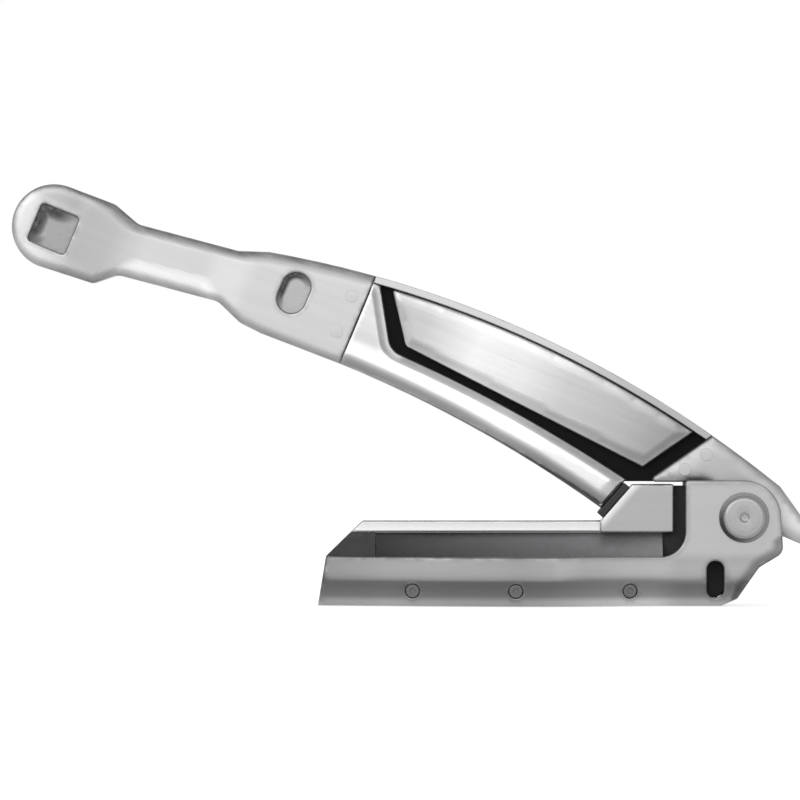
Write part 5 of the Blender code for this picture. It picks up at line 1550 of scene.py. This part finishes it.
class ANCHOR_OT_sole(PieceMaker, bpy.types.Operator):
    """Make the sole with its turned-up lug, and the ballast in the toe"""

    bl_idname = "anchor.sole"
    bl_label = "Sole and toe"

    def make(self, size, paint):
        sole = slab([refined(sole_outline())], mirrored(filling_y), filling_y, 0.5)
        metal = steel("sole_steel", paint.side_plate, grain=ROLLED_GRAIN, roughness=0.4)
        add_piece("sole_sheet", sole, "share", metal, "side_plate_steel", ["sole_plate"])
        loop = refined(toe_outline())
        ballast = slab([loop], mirrored(toe_side), toe_side, 0.4, grid_of([loop], 2.6, 2.4))
        # Painted shade on the toe: the mouldboard colour darkened, more towards its top.
        cast = forged("toe_casting", paint.mouldboard, 0.5, 0.6,
                      bands=[(2, 0.0, 0.05, [(0.0, 0.5), (1.0, 0.3)])])
        add_piece("toe_block", ballast, "share", cast, "dark_steel", ["toe_ballast"])


class ANCHOR_OT_bolts(PieceMaker, bpy.types.Operator):
    """Make the flush cross bolts and their nuts, and finish the spacers between the plates"""

    bl_idname = "anchor.bolts"
    bl_label = "Cross bolts"

    def make(self, size, paint):
        plain = steel("spacer_steel", paint.fastener)
        darkened = shaded(paint.fastener, 0.32)
        for place, station in BOLT_STATIONS.items():
            metal = turned_steel(f"bolt_{place}_steel", darkened, HINGE[0] - station, BOLT_HEIGHT, 0.4)
            _, face, end = round_mm(f"cross_bolt_{place}")
            floor, seat = SOCKET_DEPTH + face, BOLT_HEAD_HEIGHT + face
            rim = refined(circle(-station, BOLT_HEIGHT, BOLT_HEAD_RADIUS, 60))
            socket = refined(circle(-station, BOLT_HEIGHT, SOCKET_RADIUS, 6), 0.4)
            head = slab([rim, socket], flat(face), flat(floor), 0.3)
            corners = [(0.0, floor), (BOLT_HEAD_RADIUS, floor), (BOLT_HEAD_RADIUS, seat),
                       (BOLT_RADIUS, seat), (BOLT_RADIUS, end, 0.4), (0.0, end)]
            bolt = joined(head, revolved(corners, -station, BOLT_HEIGHT, 60))
            node = f"cross_bolt_{place}"
            add_piece(f"flush_bolt_{place}", bolt, "share", metal, "fastener_steel", [node])
            node = f"cross_nut_{place}"
            bore, roundings = BOLT_RADIUS + PIN_FIT, (0.0, 0.3, 0.5, 0.3)
            nut = ring(bore, *round_mm(node), roundings, -station, BOLT_HEIGHT, 60)
            add_piece(f"flush_nut_{place}", nut, "share", metal, "fastener_steel", [node])
            refinish(plain, f"cross_spacer_{place}_left", f"cross_spacer_{place}_right")


class ANCHOR_OT_hinge(PieceMaker, bpy.types.Operator):
    """Make the hinge pin with its turned head, its nut and its washers"""

    bl_idname = "anchor.hinge"
    bl_label = "Hinge"

    def make(self, size, paint):
        axis = HINGE[0], HINGE[2]
        metal = turned_steel("pin_steel", shaded(paint.fastener, 0.85), *axis)
        # The washers are a darker copy of the fastener colour, with painted shade on their front lower side
        # and lighter opposite, by the shaded mark.
        shade = [("shaded", 0.0, 1.0, [(0.0, 1.25), (0.5, 0.9), (0.85, 0.3), (1.0, 0.2)])]
        darkened = turned_steel("washer_steel", shaded(paint.fastener, 0.46), *axis, 0.4, bands=shade)
        bronze = turned_steel("bronze_turned", paint.bronze, *axis, 0.34)
        pin = revolved(self.pin_corners(*round_mm("hinge_pin")), 0.0, AXIS_HEIGHT)
        add_piece("pin_turned", pin, "share", metal, "fastener_steel", ["hinge_pin"])
        bore = PIN_RADIUS + PIN_FIT
        for kind, finish, slot in (("outer", darkened, "fastener_steel"), ("thrust", bronze, "bronze")):
            for side in ("left", "right"):
                node = f"{kind}_washer_{side}"
                washer = ring(bore, *round_mm(node), (0.3, 0.5, 0.5, 0.3), 0.0, AXIS_HEIGHT)
                way = np.arctan2(washer[0][:, 2] - AXIS_HEIGHT, washer[0][:, 0])
                marks = {"shaded": np.cos(way - SHADED_WAY)}
                add_piece(f"{kind}_disc_{side}", washer, "share", finish, slot, [node], marks)
        nut = self.nut(bore, *round_mm("hinge_nut")[1:])
        add_piece("lock_nut", nut, "share", metal, "fastener_steel", ["hinge_nut"])

    def pin_corners(self, radius, near, end):
        """Profile of the pin: a domed head with a dimple, and a shank with a chamfered end."""
        floor, under = near + PIN_DIMPLE_DEPTH, near + PIN_HEAD_HEIGHT
        return [
            (0.0, floor),
            (PIN_DIMPLE - 0.6, floor, 0.6),
            (PIN_DIMPLE + PIN_DIMPLE_DEPTH, near, 0.6),
            (radius, near, 2.8),
            (radius, under, 0.4),
            (PIN_RADIUS, under),
            (PIN_RADIUS, end - 1.0, 0.3),
            (PIN_RADIUS - 1.0, end, 0.3),
            (0.0, end),
        ]

    def nut(self, bore, low, high):
        """A hexagon with its outer face chamfered beyond its flats, and the collar that stands out of it."""
        corners = circle(0.0, AXIS_HEIGHT, NUT_FLATS / math.sqrt(3), 6).tolist()
        outline = rounded([(x, z, 0.8) for x, z in corners])
        loops = [refined(outline, 1.0), refined(circle(0.0, AXIS_HEIGHT, bore))]

        def chamfered(x, z):
            beyond = np.maximum(np.hypot(x, z - AXIS_HEIGHT) - NUT_FLATS / 2 + 0.4, 0.0)
            return low + NUT_HEIGHT - 0.55 * beyond

        hexagon = slab(loops, flat(low), chamfered, 0.3, grid_of(loops, 0.9, 1.0))
        roundings = (0.0, 0.0, 1.2, 0.4)
        collar = ring(bore, NUT_COLLAR_RADIUS, low + NUT_HEIGHT / 2, high, roundings, 0.0, AXIS_HEIGHT)
        return joined(hexagon, collar)


# Studio, panel and registration


class ANCHOR_OT_studio(bpy.types.Operator):
    """Make the white floor, the sky, the soft lamps and the camera"""

    bl_idname = "anchor.studio"
    bl_label = "Studio"

    def execute(self, context):
        scene = context.scene
        settings = scene.anchor_studio
        self.floor(settings)
        self.sky(settings)
        centre = sum(CAD_BOX, Vector()) / 2
        for name, (size, place) in LAMPS.items():
            power = getattr(settings, f"{name}_power")
            self.lamp(f"{name}_lamp", power, size, centre + Vector(place), centre)
        self.camera(scene)
        scene.view_settings.view_transform = "Standard"
        return {"FINISHED"}

    def seen(self, tree):
        """1 for rays from the camera, a mirror or glass, and 0 for the rest."""
        path = tree.node("LightPath")
        total = path.outputs["Is Camera Ray"]
        for name in ("Is Glossy Ray", "Is Transmission Ray"):
            total = tree.math("MAXIMUM", total, path.outputs[name])
        return total

    def floor(self, settings):
        angle = np.linspace(0, math.tau, FLOOR_SIDES, endpoint=False)
        height = np.full(FLOOR_SIDES, CAD_BOX[0].z - FLOOR_DROP)
        rim = np.stack([FLOOR_RADIUS * np.cos(angle), FLOOR_RADIUS * np.sin(angle), height], 1)
        mesh = bpy.data.meshes.new("studio_floor")
        mesh.from_pydata(rim.tolist(), [], [list(range(FLOOR_SIDES))])
        floor = bpy.data.objects.new("studio_floor", mesh)
        bpy.context.scene.collection.objects.link(floor)
        tree = Tree(bpy.data.materials.new("studio_floor_white"))
        tree.nodes.remove(tree.nodes["Principled BSDF"])
        matt = tree.node("BsdfDiffuse", {"Color": (*settings.floor, 1.0)})
        glow = tree.node("Emission")
        level = tree.node("Math", {1: settings.floor_glow}, operation="MULTIPLY")
        tree.links.new(self.seen(tree), level.inputs[0])
        tree.links.new(level.outputs[0], glow.inputs["Strength"])
        both = tree.node("AddShader", {0: matt.outputs[0], 1: glow.outputs[0]})
        tree.links.new(both.outputs[0], tree.nodes["Material Output"].inputs["Surface"])
        mesh.materials.append(tree.owner)
        floor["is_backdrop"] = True

    def sky(self, settings):
        """A white sky: at its own level for matt surfaces, and at 1 where it is seen."""
        tree = Tree(bpy.data.worlds.new("studio_sky"))
        background = tree.nodes["Background"]
        background.inputs["Color"].default_value = (1.0, 1.0, 1.0, 1.0)
        level = tree.node("MapRange", {"To Min": settings.sky_level, "To Max": 1.0})
        tree.links.new(self.seen(tree), level.inputs["Value"])
        tree.links.new(level.outputs[0], background.inputs["Strength"])
        bpy.context.scene.world = tree.owner

    def lamp(self, name, power, size, place, target):
        data = bpy.data.lights.new(name, "AREA")
        data.shape = "RECTANGLE"
        data.size, data.size_y = size
        data.energy = power
        lamp = bpy.data.objects.new(name, data)
        bpy.context.scene.collection.objects.link(lamp)
        lamp.location = place
        lamp.rotation_euler = (target - place).to_track_quat("-Z", "Y").to_euler()
        lamp.visible_camera = False

    def camera(self, scene):
        """Level with the anchor's middle and square to its side, far off with a long lens."""
        data = bpy.data.cameras.new("studio_camera")
        data.lens = CAMERA_LENS
        data.sensor_width = 36.0
        data.clip_end = 100.0
        camera = bpy.data.objects.new("studio_camera", data)
        scene.collection.objects.link(camera)
        camera.location = CAMERA_PLACE
        camera.rotation_euler = (math.pi / 2, 0.0, 0.0)
        scene.camera = camera


class ANCHOR_PT_panel(bpy.types.Panel):
    """Lists the steps, sizes and colours"""

    bl_idname = "ANCHOR_PT_panel"
    bl_label = "Plow anchor"
    bl_space_type = "VIEW_3D"
    bl_region_type = "UI"
    bl_category = "Anchor"

    def draw(self, context):
        column = self.layout.column()
        for step in STEPS:
            column.operator(step.bl_idname)
        scene = context.scene
        for settings in (scene.anchor_sizes, scene.anchor_colours, scene.anchor_studio):
            box = self.layout.box()
            for name in settings.__annotations__:
                box.prop(settings, name)


STEPS = (
    ANCHOR_OT_head,
    ANCHOR_OT_cheeks,
    ANCHOR_OT_rails,
    ANCHOR_OT_back,
    ANCHOR_OT_heel,
    ANCHOR_OT_rivets,
    ANCHOR_OT_side_plates,
    ANCHOR_OT_mouldboards,
    ANCHOR_OT_spine,
    ANCHOR_OT_sole,
    ANCHOR_OT_bolts,
    ANCHOR_OT_hinge,
    ANCHOR_OT_studio,
)
CLASSES = (AnchorSizes, AnchorColours, AnchorStudio, *STEPS, ANCHOR_PT_panel)


def register():
    for each in CLASSES:
        bpy.utils.register_class(each)
    bpy.types.Scene.anchor_sizes = PointerProperty(type=AnchorSizes)
    bpy.types.Scene.anchor_colours = PointerProperty(type=AnchorColours)
    bpy.types.Scene.anchor_studio = PointerProperty(type=AnchorStudio)


def unregister():
    del bpy.types.Scene.anchor_studio
    del bpy.types.Scene.anchor_colours
    del bpy.types.Scene.anchor_sizes
    for each in reversed(CLASSES):
        bpy.utils.unregister_class(each)


def main():
    register()
    bpy.ops.anchor.head()
    bpy.ops.anchor.cheeks()
    bpy.ops.anchor.rails()
    bpy.ops.anchor.back()
    bpy.ops.anchor.heel()
    bpy.ops.anchor.rivets()
    bpy.ops.anchor.side_plates()
    bpy.ops.anchor.mouldboards()
    bpy.ops.anchor.spine()
    bpy.ops.anchor.sole()
    bpy.ops.anchor.bolts()
    bpy.ops.anchor.hinge()
    bpy.ops.anchor.studio()
    boxes = {"cad": CAD_BOX, "visual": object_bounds()}
    {name: [list(corner) for corner in box] for name, box in boxes.items()}


if __name__ == "__main__":
    main()
